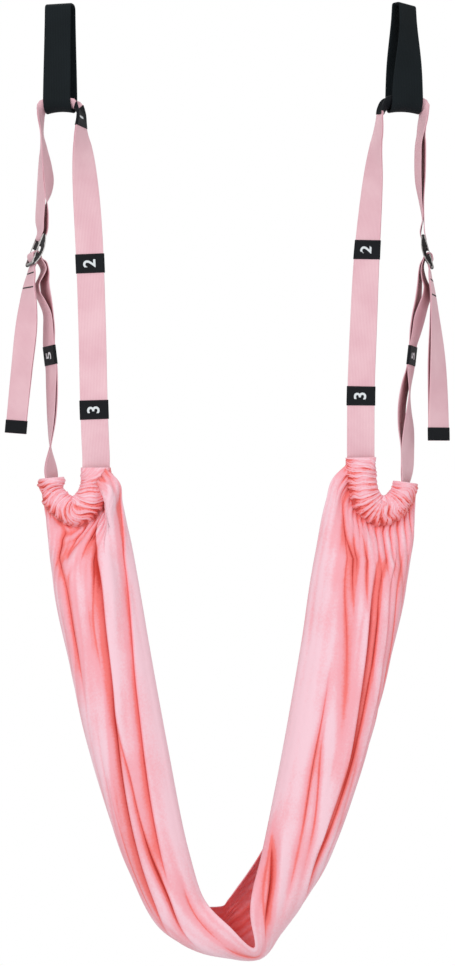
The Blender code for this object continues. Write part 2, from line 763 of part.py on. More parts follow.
def channel_hem(side, columns):
    """The outer line of the channel, where the cloth leaves it, from the front to the rear hem."""
    keys = [(x, y, z, across) for x, y, z, _, _, across, _ in side["channel"]]
    path = spline(keys, 8)
    centres = [Vector(row[:3]) * MM for row in path]
    inside = Vector((side["channel_inward"][0], 0.0, side["channel_inward"][1])) * MM
    line = []
    for index, centre in enumerate(centres):
        ahead = centres[min(index + 1, len(centres) - 1)]
        behind = centres[max(index - 1, 0)]
        tangent = (ahead - behind).normalized()
        outward = Vector((0.0, 1.0, 0.0)).cross(tangent).normalized()
        if outward.dot(centre - inside) < 0:
            outward = -outward
        puff = 2 * (CHANNEL_PLEAT_DEPTH + CHANNEL_SWELL)
        reach = path[index][3] * MM + puff + (CHANNEL_WALL + CLOTH_THICKNESS) / 2 - 0.2 * MM
        line.append(centre + outward * reach)
    first, last = 3, len(line) - 9
    row = []
    for column in range(columns + 1):
        place = first + (last - first) * column / columns
        low = min(int(place), len(line) - 2)
        row.append(line[low].lerp(line[low + 1], place - low))
    return row


def bundle_row(station, inward, columns):
    """One cross-section of the hanging sling, from its front hem round the outside to its rear hem."""
    x, z, across, depth, front, rear = station
    centre = Vector((x * MM, SLING_MIDDLE_Y, z * MM))
    row = []
    for column in range(columns + 1):
        angle = math.radians(front + (rear - front) * column / columns)
        cosine = math.cos(angle)
        sine = math.sin(angle)
        reach = math.copysign(abs(cosine) ** 0.8, cosine) * across * MM
        near = math.copysign(abs(sine) ** 0.8, sine) * depth * MM
        row.append(centre + inward * reach - Vector((0.0, near, 0.0)))
    return row


def sling_rows(row_steps, columns):
    """The cloth from the left channel to the right one, with its long folds."""
    middles = [Vector((station[0], 0.0, station[1])) * MM for station in SLING_STATIONS]
    keys = [channel_hem(LEFT, columns)]
    for index, station in enumerate(SLING_STATIONS):
        ahead = middles[min(index + 1, len(middles) - 1)]
        behind = middles[max(index - 1, 0)]
        tangent = (ahead - behind).normalized()
        inward = tangent.cross(Vector((0.0, 1.0, 0.0))).normalized()
        if inward.z < 0 and abs(inward.x) < 0.5:
            inward = -inward
        keys.append(bundle_row(station, inward, columns))
    keys.append(channel_hem(RIGHT, columns))
    flat_keys = [[value for point in row for value in point] for row in keys]
    smooth = []
    knots = [0.0]
    middle = (columns // 2) * 3
    for before, after in zip(flat_keys, flat_keys[1:]):
        step = Vector(after[middle:middle + 3]) - Vector(before[middle:middle + 3])
        knots.append(knots[-1] + step.length / MM)
    for row in spline(flat_keys, row_steps, knots):
        smooth.append([Vector(row[3 * j:3 * j + 3]) for j in range(columns + 1)])
    return add_folds(smooth)


def add_folds(rows):
    """Pushes the cloth in and out along its own normal, in folds that run from end to end."""
    folded = []
    last = len(rows) - 1
    for i, row in enumerate(rows):
        share = i / last
        ends = min(1.0, 6 * share, 6 * (1 - share))
        middle = 1 - 0.55 * math.exp(-((share - 0.52) / 0.1) ** 2)
        new_row = []
        for j, point in enumerate(row):
            v = j / (len(row) - 1)
            lobe = min(1.0, max(0.0, (v - 0.12) / 0.2))
            depth = SLING_FOLD_DEPTH * ends * middle * lobe
            drift = 0.18 * math.sin(5.0 * share + 2.0)
            push = depth * (0.7 * wave(SLING_FOLDS * v + drift) + 0.3 * wave(2 * v + 1.6 * share))
            along = rows[min(i + 1, last)][j] - rows[max(i - 1, 0)][j]
            across = row[min(j + 1, len(row) - 1)] - row[max(j - 1, 0)]
            new_row.append(point + along.cross(across).normalized() * push)
        folded.append(new_row)
    return folded


def onward(first, second, distance):
    """A station carried on past the second of two stations, in their direction."""
    step = (Vector(second[:3]) - Vector(first[:3])).normalized() * distance / MM
    return (*(Vector(second[:3]) + step), second[3], 0.0)


def layer_keys(side, stations, distance):
    """Stations moved off the webbing's face, away from the middle of the whole strap."""
    moved = []
    for (centre, _, face, _), station in zip(make_route(stations), stations):
        outward = face if face.x * side["loop_x"] > 0 else -face
        moved.append((*((centre + outward * distance) / MM), station[3], 0.0))
    return moved


def average(first, second):
    return [(a + b) / 2 for a, b in zip(first, second)]


def back_mouth(side):
    """Two stations where the back strap goes into the channel, a little inside its mouth."""
    last = side["channel"][-1][:5]
    before = side["channel"][-2][:5]
    return onward(before, last, 0.0), onward(last, before, -MOUTH_REACH)


def tail_layer(tail, side, distance):
    """One layer of the tail: the two layers part a little between the stitching and the tip."""
    moved = []
    sign = 1 if tail[-1][2].x * side["loop_x"] > 0 else -1
    whole = route_length(tail)
    travelled = 0.0
    for index, (centre, across, face, bend) in enumerate(tail):
        if index:
            travelled += (centre - tail[index - 1][0]).length
        share = min(max((travelled / whole - 0.2) / 0.7, 0.0), 1.0)
        bulge = side["tail_bulge"] * MM * math.sin(math.pi * share) ** 2 / 2
        shift = distance + math.copysign(bulge, distance)
        moved.append((centre + face * sign * shift, across, face, bend))
    return moved


def bend_route(side, route):
    """Turns the cupping of a route's stations, 1 being the saddle, into one over the radius."""
    return [(*point[:3], point[3] / cup_radius(side)) for point in route]


def front_and_saddle(side, straps, finish):
    """The doubled webbing from the channel up the front and over the bottom of the black loop."""
    name = side["name"]
    front = [*reversed(side["front_lower"]), *reversed(side["front"])]
    keys = [*front, *saddle_stations(side)]
    stations = spline(keys, 3)
    turn = -1 if name == "right" else 1
    cupped = [(*station[:4], turn * min(max(station[4], 0.0), 1.0)) for station in stations]
    route = bend_route(side, make_route(cupped))
    whole = route_length(route)
    top = route_length(route[:stations.index(list(keys[len(front) - 1])) + 1])
    label_one = top + side["label_one_rise"] * MM
    for number in (1, 2, 3):
        middle = label_one - (number - 1) * LABEL_PITCH
        label_sleeve(f"{name}_label_{number}", route, middle, LABEL_LENGTH, straps,
                     finish["label"], DOUBLED_THICKNESS, columns=8 if number == 1 else 2,
                     ease=CUPPED_LABEL_EASE if number == 1 else 0.0)
    pink = finish["webbing"]
    low_joint = label_one - 2 * LABEL_PITCH
    high_joint = top
    half_gap = JOINT_GAP / 2
    webbing(name + "_front_strap_lower", trim(route, 0.0, low_joint - half_gap),
            DOUBLED_THICKNESS, straps, pink, columns=2)
    webbing(name + "_front_strap", trim(route, low_joint + half_gap, high_joint - half_gap),
            DOUBLED_THICKNESS, straps, pink, columns=2)
    webbing(name + "_saddle_strap", trim(route, high_joint + half_gap, whole),
            DOUBLED_THICKNESS, straps, pink, columns=8)
    return stations[-2:]


def top_straps(side, saddle_end, straps, finish):
    """The two layers between the saddle and the top bar, which they fold round."""
    name = side["name"]
    pink = finish["webbing"]
    start = onward(*saddle_end, JOINT_GAP)
    further = onward(*saddle_end, 5 * MM)
    fold = top_fold_stations(side)
    outer_keys = [*layer_keys(side, (start, further), LAYER_STEP / 2), *side["top_outer"]]
    outer = spline([*outer_keys, fold[0], fold[1]], 4)
    webbing(name + "_top_strap_outer", make_route(outer + fold[2:]), LAYER_THICKNESS, straps, pink)
    inner_keys = [*layer_keys(side, (start, further), -LAYER_STEP / 2), *side["top_inner"]]
    end = onward(fold[-2], fold[-1], SEAT_GAP)
    inner = spline([*inner_keys, onward(fold[-2], fold[-1], 3 * MM), end], 4)
    webbing(name + "_top_strap_inner", make_route(inner), LAYER_THICKNESS, straps, pink)


def back_straps(side, wrap, straps, finish):
    """The two layers from the friction bar down through label 5 into the channel."""
    name = side["name"]
    pink = finish["webbing"]
    start = onward(wrap[1], wrap[0], 3 * SEAT_GAP)
    further = onward(wrap[1], wrap[0], 2 * MM)
    five_top, five_bottom = side["label_five"]
    five = tuple(average(five_top, five_bottom))
    mouth = back_mouth(side)
    middles = []
    for layer, sign in (("outer", 1), ("inner", -1)):
        step = sign * LAYER_STEP / 2
        label_keys = layer_keys(side, (five_top, five, five_bottom), step)
        keys = [
            *layer_keys(side, (start, further), step), *side["back_" + layer], *label_keys,
            *side["lower_" + layer], *layer_keys(side, mouth, step),
        ]
        stations = spline(keys, 4)
        route = make_route(stations)
        joint = route_length(route[:stations.index(list(label_keys[1])) + 1])
        webbing(f"{name}_back_strap_{layer}", trim(route, 0.0, joint - SEAT_GAP / 2),
                LAYER_THICKNESS, straps, pink)
        webbing(f"{name}_back_strap_lower_{layer}",
                trim(route, joint + SEAT_GAP / 2, route_length(route)), LAYER_THICKNESS, straps, pink)
    sleeve = make_route((five_top, five, five_bottom))
    label_sleeve(name + "_label_5", sleeve, route_length(sleeve) / 2, LABEL_LENGTH, straps,
                 finish["label"], 2 * LAYER_THICKNESS + SEAT_GAP)


def tail(side, wrap, straps, finish):
    """The two free layers below the bottom bar, with the tip label wrapped round their ends."""
    name = side["name"]
    start = onward(wrap[-2], wrap[-1], 2 * SEAT_GAP)
    further = onward(wrap[-2], wrap[-1], 3 * MM)
    route = make_route(spline([start, further, *side["tail"]], 4))
    for layer, sign in (("outer", 1), ("inner", -1)):
        webbing(f"{name}_tail_{layer}", tail_layer(route, side, sign * LAYER_STEP / 2),
                LAYER_THICKNESS, straps, finish["webbing"])
    label_sleeve(name + "_tip_label", route, route_length(route) - TIP_LABEL_LENGTH / 2 - SEAT_GAP,
                 TIP_LABEL_LENGTH, straps, finish["label"], 2 * LAYER_THICKNESS + SEAT_GAP)


def channel(side, straps, finish):
    """The gathered channel and the piece of strap inside it."""
    name = side["name"]
    inside = make_route(spline([station[:5] for station in side["channel"]], 4))
    front_inset, back_inset = CHANNEL_STRAP_INSETS
    webbing(name + "_channel_strap", trim(inside, front_inset, route_length(inside) - back_inset),
            DOUBLED_THICKNESS, straps, finish["webbing"], columns=2)
    sheet(name + "_channel", channel_rows(side, 5, 12), CHANNEL_WALL, straps, finish["cloth"],
          wrap_columns=True, even=False)


def build_side(side, straps, cutters, finish):
    """All pieces of one side, from its hanging loop to its channel."""
    hanging_loop(side, straps, finish["loop"])
    saddle_end = front_and_saddle(side, straps, finish)
    top_straps(side, saddle_end, straps, finish)
    wrap = friction_wrap_stations(side)
    webbing(side["name"] + "_friction_wrap", make_route(wrap), DOUBLED_THICKNESS, straps,
            finish["webbing"])
    adjuster_frame(side, straps, cutters, finish["metal"])
    friction_bar(side, straps, finish["metal"])
    back_straps(side, wrap, straps, finish)
    tail(side, wrap, straps, finish)
    channel(side, straps, finish)


def main():
    clear_scene()
    straps = make_collection("waist_stretching_strap")
    cutters = make_collection("cutters")
    finish = {
        "webbing": make_material("pink_webbing", (0.78, 0.49, 0.55), 0.75),
        "loop": make_material("black_webbing", (0.012, 0.018, 0.022), 0.6),
        "label": make_material("black_label", (0.008, 0.009, 0.012), 0.5),
        "metal": make_material("dark_nickel", (0.22, 0.21, 0.21), 0.3, 1.0),
        "cloth": make_material("pink_cloth", (0.95, 0.42, 0.46), 0.65),
    }
    for side in SIDES:
        build_side(side, straps, cutters, finish)
    row_steps = max(2, round(SLING_ROWS / (len(SLING_STATIONS) + 1)))
    sheet("sling_cloth", sling_rows(row_steps, SLING_COLUMNS), CLOTH_THICKNESS, straps,
          finish["cloth"], even=False)


main()
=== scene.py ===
"""The looks of the waist stretching strap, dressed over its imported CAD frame.

Sizes are in millimetres unless they are multiplied by MM. The frame is that of the CAD: +Z up, +Y
away from the viewer, the origin midway between the inner tops of the two black loops.
"""
import math

import bmesh
import bpy
import numpy as np
from mathutils import Matrix, Vector, noise
from mathutils.bvhtree import BVHTree


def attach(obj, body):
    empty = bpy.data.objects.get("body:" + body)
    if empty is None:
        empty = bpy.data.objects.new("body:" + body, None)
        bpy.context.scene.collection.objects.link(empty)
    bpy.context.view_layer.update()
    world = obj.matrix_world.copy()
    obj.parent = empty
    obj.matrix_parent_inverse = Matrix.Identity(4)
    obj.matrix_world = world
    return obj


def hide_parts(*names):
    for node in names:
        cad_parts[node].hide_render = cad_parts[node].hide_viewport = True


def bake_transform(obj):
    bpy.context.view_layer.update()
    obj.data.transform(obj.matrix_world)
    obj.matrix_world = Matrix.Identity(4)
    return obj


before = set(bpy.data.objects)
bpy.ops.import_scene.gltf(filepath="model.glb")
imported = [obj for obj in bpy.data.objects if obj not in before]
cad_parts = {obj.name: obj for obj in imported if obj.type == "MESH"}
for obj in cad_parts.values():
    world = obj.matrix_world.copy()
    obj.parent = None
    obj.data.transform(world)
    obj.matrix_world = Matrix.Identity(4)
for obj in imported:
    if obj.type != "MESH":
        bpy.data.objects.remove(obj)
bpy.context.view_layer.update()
MM = 0.001

# Studio
# The strap hangs before a white wall, with soft light from both sides of the camera and from above.
# The floor is far below the sling, so that its shadow stays out of the photograph's frame.
CAMERA = Vector((-4.9, -3000.0, -661.6))
CAMERA_LENS = 80.6
LIGHT_TARGET = Vector((0, 0, -0.75))
ROOM_LIGHT = 0.55
FLOOR_HEIGHT = -1.76
FLOOR_RADIUS = 1.6


def set_inputs(tree, node, **inputs):
    """Sets a node's inputs by name. A socket is linked, and anything else is a constant."""
    for name, value in inputs.items():
        socket = node.inputs[name.replace("_", " ")]
        if isinstance(value, bpy.types.NodeSocket):
            tree.links.new(value, socket)
        else:
            socket.default_value = value


def add_node(tree, kind, settings=None, **inputs):
    node = tree.nodes.new("ShaderNode" + kind)
    for name, value in (settings or {}).items():
        setattr(node, name, value)
    set_inputs(tree, node, **inputs)
    return node


def new_material(name, **inputs):
    """A material with constants on its shader, and the tree and the shader to link to."""
    material = bpy.data.materials.new(name)
    material.use_nodes = True
    tree = material.node_tree
    shader = tree.nodes["Principled BSDF"]
    set_inputs(tree, shader, **inputs)
    return material, tree, shader


bpy.ops.object.select_all(action="DESELECT")
bpy.ops.object.camera_add(location=CAMERA * MM, rotation=(math.pi / 2, 0, 0))
camera = bpy.context.object
camera.data.lens = CAMERA_LENS
bpy.context.scene.camera = camera
bpy.context.scene.view_settings.view_transform = "Standard"

for name, place, size, power in (
    ("key_light", (-1.5, -2.3, 0.4), 1.3, 30),
    ("fill_light", (1.7, -2.0, -0.1), 1.6, 13),
    ("low_light", (0.3, -2.4, -1.5), 1.2, 5),
    ("top_light", (0.0, 0.6, 1.4), 1.4, 12),
):
    bpy.ops.object.light_add(type="AREA", location=place)
    lamp = bpy.context.object
    lamp.name = name
    lamp.data.size = size
    lamp.data.energy = power
    lamp.rotation_euler = (LIGHT_TARGET - Vector(place)).to_track_quat("-Z", "Y").to_euler()

world = bpy.data.worlds.new("white_studio")
bpy.context.scene.world = world
world.use_nodes = True
tree = world.node_tree
tree.nodes.clear()
in_view = add_node(tree, "LightPath").outputs["Is Camera Ray"]
strength = add_node(tree, "MapRange", Value=in_view, To_Min=ROOM_LIGHT, To_Max=1.0).outputs[0]
wall = add_node(tree, "Background", Color=(1, 1, 1, 1), Strength=strength).outputs[0]
add_node(tree, "OutputWorld", Surface=wall)

bpy.ops.mesh.primitive_circle_add(vertices=64, radius=FLOOR_RADIUS, fill_type="NGON", location=(0, 0, FLOOR_HEIGHT))
floor = bpy.context.object
floor.name = "floor"
floor.data.materials.append(new_material("floor_paint", Base_Color=(0.82, 0.82, 0.82, 1), Roughness=0.9)[0])

# Black hanging loops
# Each is a closed loop of black woven webbing, 2.4 mm thick, that hangs over a bar or hook. It is
# round at its bottom, where the pink strap lies in it, and drawn narrow at its top.
LOOP_THICKNESS = 2.4
LOOP_WIDTH = 38.0
LOOP_BOTTOM_DEPTH = 30.0
LOOP_SAG = 2.6
LOOP_TOP_FLAT = 7.0
LOOP_AXIS_HEIGHT = -130.8
LOOP_COLUMNS = 14
SELVEDGE_ANGLE = math.radians(65)
# Of each loop: its x, the heading of its width at its bottom and its top, its depth at its top, and
# how much wider the webbing is spread at its bottom.
LOOPS = {
    "left": (-237.0, -15.0, -15.0, 20.0, 2.0),
    "right": (240.0, 15.0, 48.0, 12.0, 7.0),
}


def smooth_rows(keys, knots, counts):
    """A smooth curve through rows of numbers, with so many samples to each span."""
    keys = np.array(keys, float)
    steps = np.diff(knots)
    rise = np.diff(keys, axis=0) / steps[:, None]
    slopes = np.empty_like(keys)
    slopes[0] = rise[0]
    slopes[-1] = rise[-1]
    slopes[1:-1] = (rise[:-1] * steps[1:, None] + rise[1:] * steps[:-1, None]) / (steps[1:] + steps[:-1])[:, None]
    rows = []
    for index, count in enumerate(counts):
        for t in np.arange(count) / count:
            start = 2 * t ** 3 - 3 * t * t + 1
            rows.append(
                start * keys[index] + (t ** 3 - 2 * t * t + t) * steps[index] * slopes[index]
                + (1 - start) * keys[index + 1] + (t ** 3 - t * t) * steps[index] * slopes[index + 1])
    rows.append(keys[-1])
    return np.array(rows)


def smooth_path(keys, step):
    """A smooth curve through keys that start with a point, with its samples about a step apart."""
    spans = [math.dist(a[:3], b[:3]) for a, b in zip(keys, keys[1:])]
    counts = [max(1, math.ceil(span / step)) for span in spans]
    return smooth_rows(keys, np.concatenate(([0], np.cumsum(spans))), counts)


def direction_at(rows, index):
    ahead = Vector(rows[min(index + 1, len(rows) - 1)][:3])
    return (ahead - Vector(rows[max(index - 1, 0)][:3])).normalized()


def strap_frames(stations, step=4.0, radius=1.0):
    """Frames along a strap from stations: x, y, z, heading of its width, how far it is cupped, lift.

    A frame is centre, across, face, bend and lift, in millimetres. The lift is how far the layer
    lies off the path, along its face.
    """
    rows = smooth_path(stations, step)
    frames = []
    for index, row in enumerate(rows):
        tangent = direction_at(rows, index)
        across = Vector((math.cos(math.radians(row[3])), math.sin(math.radians(row[3])), 0))
        across = (across - tangent * across.dot(tangent)).normalized()
        cup = min(max(row[4], -1), 1)
        cup = 0 if abs(cup) < 0.02 else cup
        frames.append((Vector(row[:3]), across, across.cross(tangent).normalized(), cup / radius, row[5]))
    return frames


def turned(frames):
    """The same frames, followed the other way."""
    return [(centre, across, -face, -bend, -lift) for centre, across, face, bend, lift in reversed(frames)]


def distances_along(frames):
    return np.concatenate(([0.0], np.cumsum([(b[0] - a[0]).length for a, b in zip(frames, frames[1:])])))


def strap_point(frame_row, reach, up):
    """The point of a strap at this reach across it and this far over its path, cupped as it is there."""
    centre, across, face, bend = frame_row[:4]
    if not bend:
        return centre + across * reach + face * up
    radius = 1 / bend
    turn = reach / radius
    return centre + across * ((radius - up) * math.sin(turn)) + face * (radius - (radius - up) * math.cos(turn))


def edge_profile(width, thickness, columns):
    """(across, up) round a strip of webbing with rounded edges, from its upper face."""
    radius = thickness / 2
    flat = width / 2 - radius
    half = [(flat * (2 * k / columns - 1), radius) for k in range(columns + 1)]
    half += [(flat + radius * math.sin(k * math.pi / 4), radius * math.cos(k * math.pi / 4)) for k in (1, 2, 3)]
    return half + [(-across, -up) for across, up in half]


def strap_shell(frames, width, thickness, columns=12):
    """Rings of (point, across, distance along) round a strap that follows the frames."""
    profile = edge_profile(width, thickness, columns)
    return [
        [(strap_point(row, reach, row[4] + up), reach, travelled) for reach, up in profile]
        for row, travelled in zip(frames, distances_along(frames))]


def add_piece(name, mesh, material, body=None):
    mesh.materials.append(material)
    mesh.shade_smooth()
    piece = bpy.data.objects.new(name, mesh)
    bpy.context.scene.collection.objects.link(piece)
    if body:
        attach(piece, body)
    return piece


def into_mesh(shape, mesh):
    """Turns the faces of a shape outward and puts them into a mesh."""
    bmesh.ops.recalc_face_normals(shape, faces=shape.faces)
    shape.to_mesh(mesh)
    shape.free()
    return mesh


def strap_piece(name, shells, material, body=None, closed=False):
    """One piece from rings of points. Its weave UV holds metres across and along the strap."""
    shape = bmesh.new()
    uv = shape.loops.layers.uv.new("weave")
    for rings in shells:
        verts = [[shape.verts.new(point * MM) for point, _, _ in ring] for ring in rings]
        size = len(rings[0])
        for i in range(len(rings) if closed else len(rings) - 1):
            k = (i + 1) % len(rings)
            for j in range(size):
                m = (j + 1) % size
                quad = shape.faces.new((verts[i][j], verts[i][m], verts[k][m], verts[k][j]))
                for loop, (a, b) in zip(quad.loops, ((i, j), (i, m), (k, m), (k, j))):
                    along = rings[a][b][2] if a >= i else rings[i][b][2] + 4.0
                    loop[uv].uv = (rings[a][b][1] * MM, along * MM)
        if not closed:
            shape.faces.new(verts[0][::-1])
            shape.faces.new(verts[-1])
    piece = add_piece(name, into_mesh(shape, bpy.data.meshes.new(name)), material, body)
    piece.data.set_sharp_from_angle(angle=SELVEDGE_ANGLE)
    return piece


def math_node(tree, operation, first, second=None, third=None):
    node = tree.nodes.new("ShaderNodeMath")
    node.operation = operation
    for socket, value in zip(node.inputs, (first, second, third)):
        if isinstance(value, (int, float)):
            socket.default_value = value
        elif value is not None:
            tree.links.new(value, socket)
    return node.outputs[0]


def scaled(tree, value, factor, offset):
    return math_node(tree, "MULTIPLY_ADD", value, factor, offset)


def noise_texture(tree, scale, detail=2):
    place = add_node(tree, "TexCoord").outputs["Object"]
    return add_node(tree, "TexNoise", Vector=place, Scale=scale, Detail=detail).outputs["Fac"]


def attribute(tree, name):
    return add_node(tree, "Attribute", {"attribute_name": name}).outputs["Fac"]


def mixed(tree, factor, first, second):
    return add_node(tree, "Mix", {"data_type": "RGBA"}, Factor=factor, A=first, B=second).outputs["Result"]


def bumped(tree, height, strength, distance):
    return add_node(tree, "Bump", Height=height, Strength=strength, Distance=distance).outputs[0]


# The weave of a webbing: warp ribs along it, crossed by slanting picks that turn at each rib.
weave = bpy.data.node_groups.new("webbing_weave", "ShaderNodeTree")
for socket, way in (("Rib Pitch", "INPUT"), ("Pick Pitch", "INPUT"), ("Height", "OUTPUT"), ("Hollows", "OUTPUT")):
    weave.interface.new_socket(socket, in_out=way, socket_type="NodeSocketFloat")
entry = weave.nodes.new("NodeGroupInput")
leave = weave.nodes.new("NodeGroupOutput")
split = add_node(weave, "SeparateXYZ", Vector=add_node(weave, "UVMap", {"uv_map": "weave"}).outputs[0])
across_ribs = math_node(weave, "DIVIDE", math_node(weave, "MULTIPLY", split.outputs[0], 1000.0), entry.outputs[0])
along_picks = math_node(weave, "DIVIDE", math_node(weave, "MULTIPLY", split.outputs[1], 1000.0), entry.outputs[1])
rib = math_node(weave, "ABSOLUTE", math_node(weave, "SINE", math_node(weave, "MULTIPLY", across_ribs, math.pi)))
slant = scaled(weave, math_node(weave, "PINGPONG", across_ribs, 1.0), 0.8, along_picks)
pick = math_node(weave, "ABSOLUTE", math_node(weave, "SINE", math_node(weave, "MULTIPLY", slant, math.pi)))
pick = scaled(weave, pick, 0.45, 0.55)
raised = math_node(weave, "MULTIPLY", math_node(weave, "POWER", rib, 0.6), pick)
# How low each point lies, which the webbing's colour uses as painted shade between the ribs.
set_inputs(weave, leave, Height=raised, Hollows=math_node(weave, "SUBTRACT", 1.0, raised))


def webbing_material(name, light, deep, roughness, shine, sheen, rib_pitch, pick_pitch, bump):
    """Dyed woven webbing, with painted shade between its ribs and where it is closed in, and a random drift of tone.
    """
    material, tree, shader = new_material(
        name, Roughness=roughness, Specular_IOR_Level=shine, Sheen_Weight=sheen, Sheen_Roughness=0.45,
        Sheen_Tint=(*[min(1.0, value * 0.4 + 0.6) for value in light], 1))
    pattern = add_node(tree, "Group", {"node_tree": weave}, Rib_Pitch=rib_pitch, Pick_Pitch=pick_pitch)
    drift = scaled(tree, noise_texture(tree, 22, 5), 0.9, -0.3)
    # Painted shade between the ribs, with a random drift of tone.
    amount = scaled(tree, pattern.outputs["Hollows"], 0.6, drift)
    amount.node.use_clamp = True
    colour = mixed(tree, amount, (*light, 1), (*deep, 1))
    # Painted shade: a deep colour where the next surface stands close in front.
    occluded_shade_colour = (deep[0] * 0.55, deep[1] * 0.2, deep[2] * 0.22, 1)
    height = scaled(tree, noise_texture(tree, 900), 0.25, pattern.outputs["Height"])
    set_inputs(
        tree, shader, Base_Color=mixed(tree, attribute(tree, "shelter"), colour, occluded_shade_colour),
        Normal=bumped(tree, height, bump, 0.0004))
    return material


black_webbing = webbing_material(
    "black_loop_webbing", (0.009, 0.014, 0.017), (0.003, 0.005, 0.006), roughness=0.7, shine=0.12, sheen=0.03,
    rib_pitch=2.4, pick_pitch=1.6, bump=0.6)

for side, (loop_x, heading, top_heading, top_depth, spread) in LOOPS.items():
    half_bottom = LOOP_BOTTOM_DEPTH / 2
    half_top = top_depth / 2
    top_height = LOOP_THICKNESS / 2
    shoulder = half_top - LOOP_TOP_FLAT / 2
    rise = top_height - LOOP_AXIS_HEIGHT
    outline = []
    for degrees in range(-90, 91, 9):
        angle = math.radians(degrees)
        outline.append((half_bottom * math.sin(angle), LOOP_AXIS_HEIGHT - half_bottom * math.cos(angle)))
    wall = []
    for step in range(1, 20):
        share = step / 20
        wall.append((half_bottom + (half_top - half_bottom) * share, LOOP_AXIS_HEIGHT + (rise - shoulder) * share))
    for degrees in range(0, 91, 15):
        angle = math.radians(degrees)
        height = top_height - shoulder + shoulder * math.sin(angle)
        wall.append((LOOP_TOP_FLAT / 2 + shoulder * math.cos(angle), height))
    outline += wall + [(-depth, height) for depth, height in reversed(wall)]
    rings = []
    travelled = 0.0
    for index, (depth, height) in enumerate(outline):
        before = outline[index - 1]
        after = outline[(index + 1) % len(outline)]
        if index:
            travelled += math.dist((depth, height), before)
        share = min(max((height - LOOP_AXIS_HEIGHT) / (rise * 0.9), 0.0), 1.0)
        share = share * share * (3 - 2 * share)
        turn = math.radians(heading + (top_heading - heading) * share)
        along = Vector((math.cos(turn), math.sin(turn), 0))
        away = Vector((-math.sin(turn), math.cos(turn), 0))
        width = LOOP_WIDTH + spread * (1 - share)
        low = max(0.0, (LOOP_AXIS_HEIGHT - height) / half_bottom)
        tangent = Vector((after[0] - before[0], after[1] - before[1])).normalized()
        outward = away * tangent.y - Vector((0, 0, tangent.x))
        ring = []
        for across, up in edge_profile(width, LOOP_THICKNESS, LOOP_COLUMNS):
            point = Vector((loop_x, 0, height)) + away * depth + along * across + outward * up
            point.z -= LOOP_SAG * low * (2 * across / width) ** 2
            ring.append((point, across, travelled))
        rings.append(ring)
    piece = strap_piece(side + "_black_loop", [rings], black_webbing, "hanging_loops", closed=True)
    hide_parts(side + "_hanging_loop")

# Pink webbing of the two sides
# One long pink polyester webbing is used doubled on each side. Its fold sits on the adjuster's top
# bar. Both layers go over the black loop, down the front, through the sling's channel and up the back.
WEBBING_WIDTH = 38.0
LAYER = 1.15
LAYER_STEP = 1.25
CLEARANCE = 0.3
FRAME_BAR_SPACING = 40.0
FRAME_BAR_DIAMETER = 4.5
TOP_BAR_HEIGHT = FRAME_BAR_SPACING / 2
LOW_BAR_HEIGHT = -FRAME_BAR_SPACING / 2
FOLD_SEAT = FRAME_BAR_DIAMETER / 2 + CLEARANCE + LAYER / 2
BAR_SEAT = FRAME_BAR_DIAMETER / 2 + CLEARANCE + LAYER_STEP
FRICTION_BAR_DIAMETER = 6.0
FRICTION_BAR_REST = -8.0
FRICTION_SEAT = FRICTION_BAR_DIAMETER / 2 + CLEARANCE + LAYER_STEP
PAINTED_SHADE_REACH = 16.0 * MM
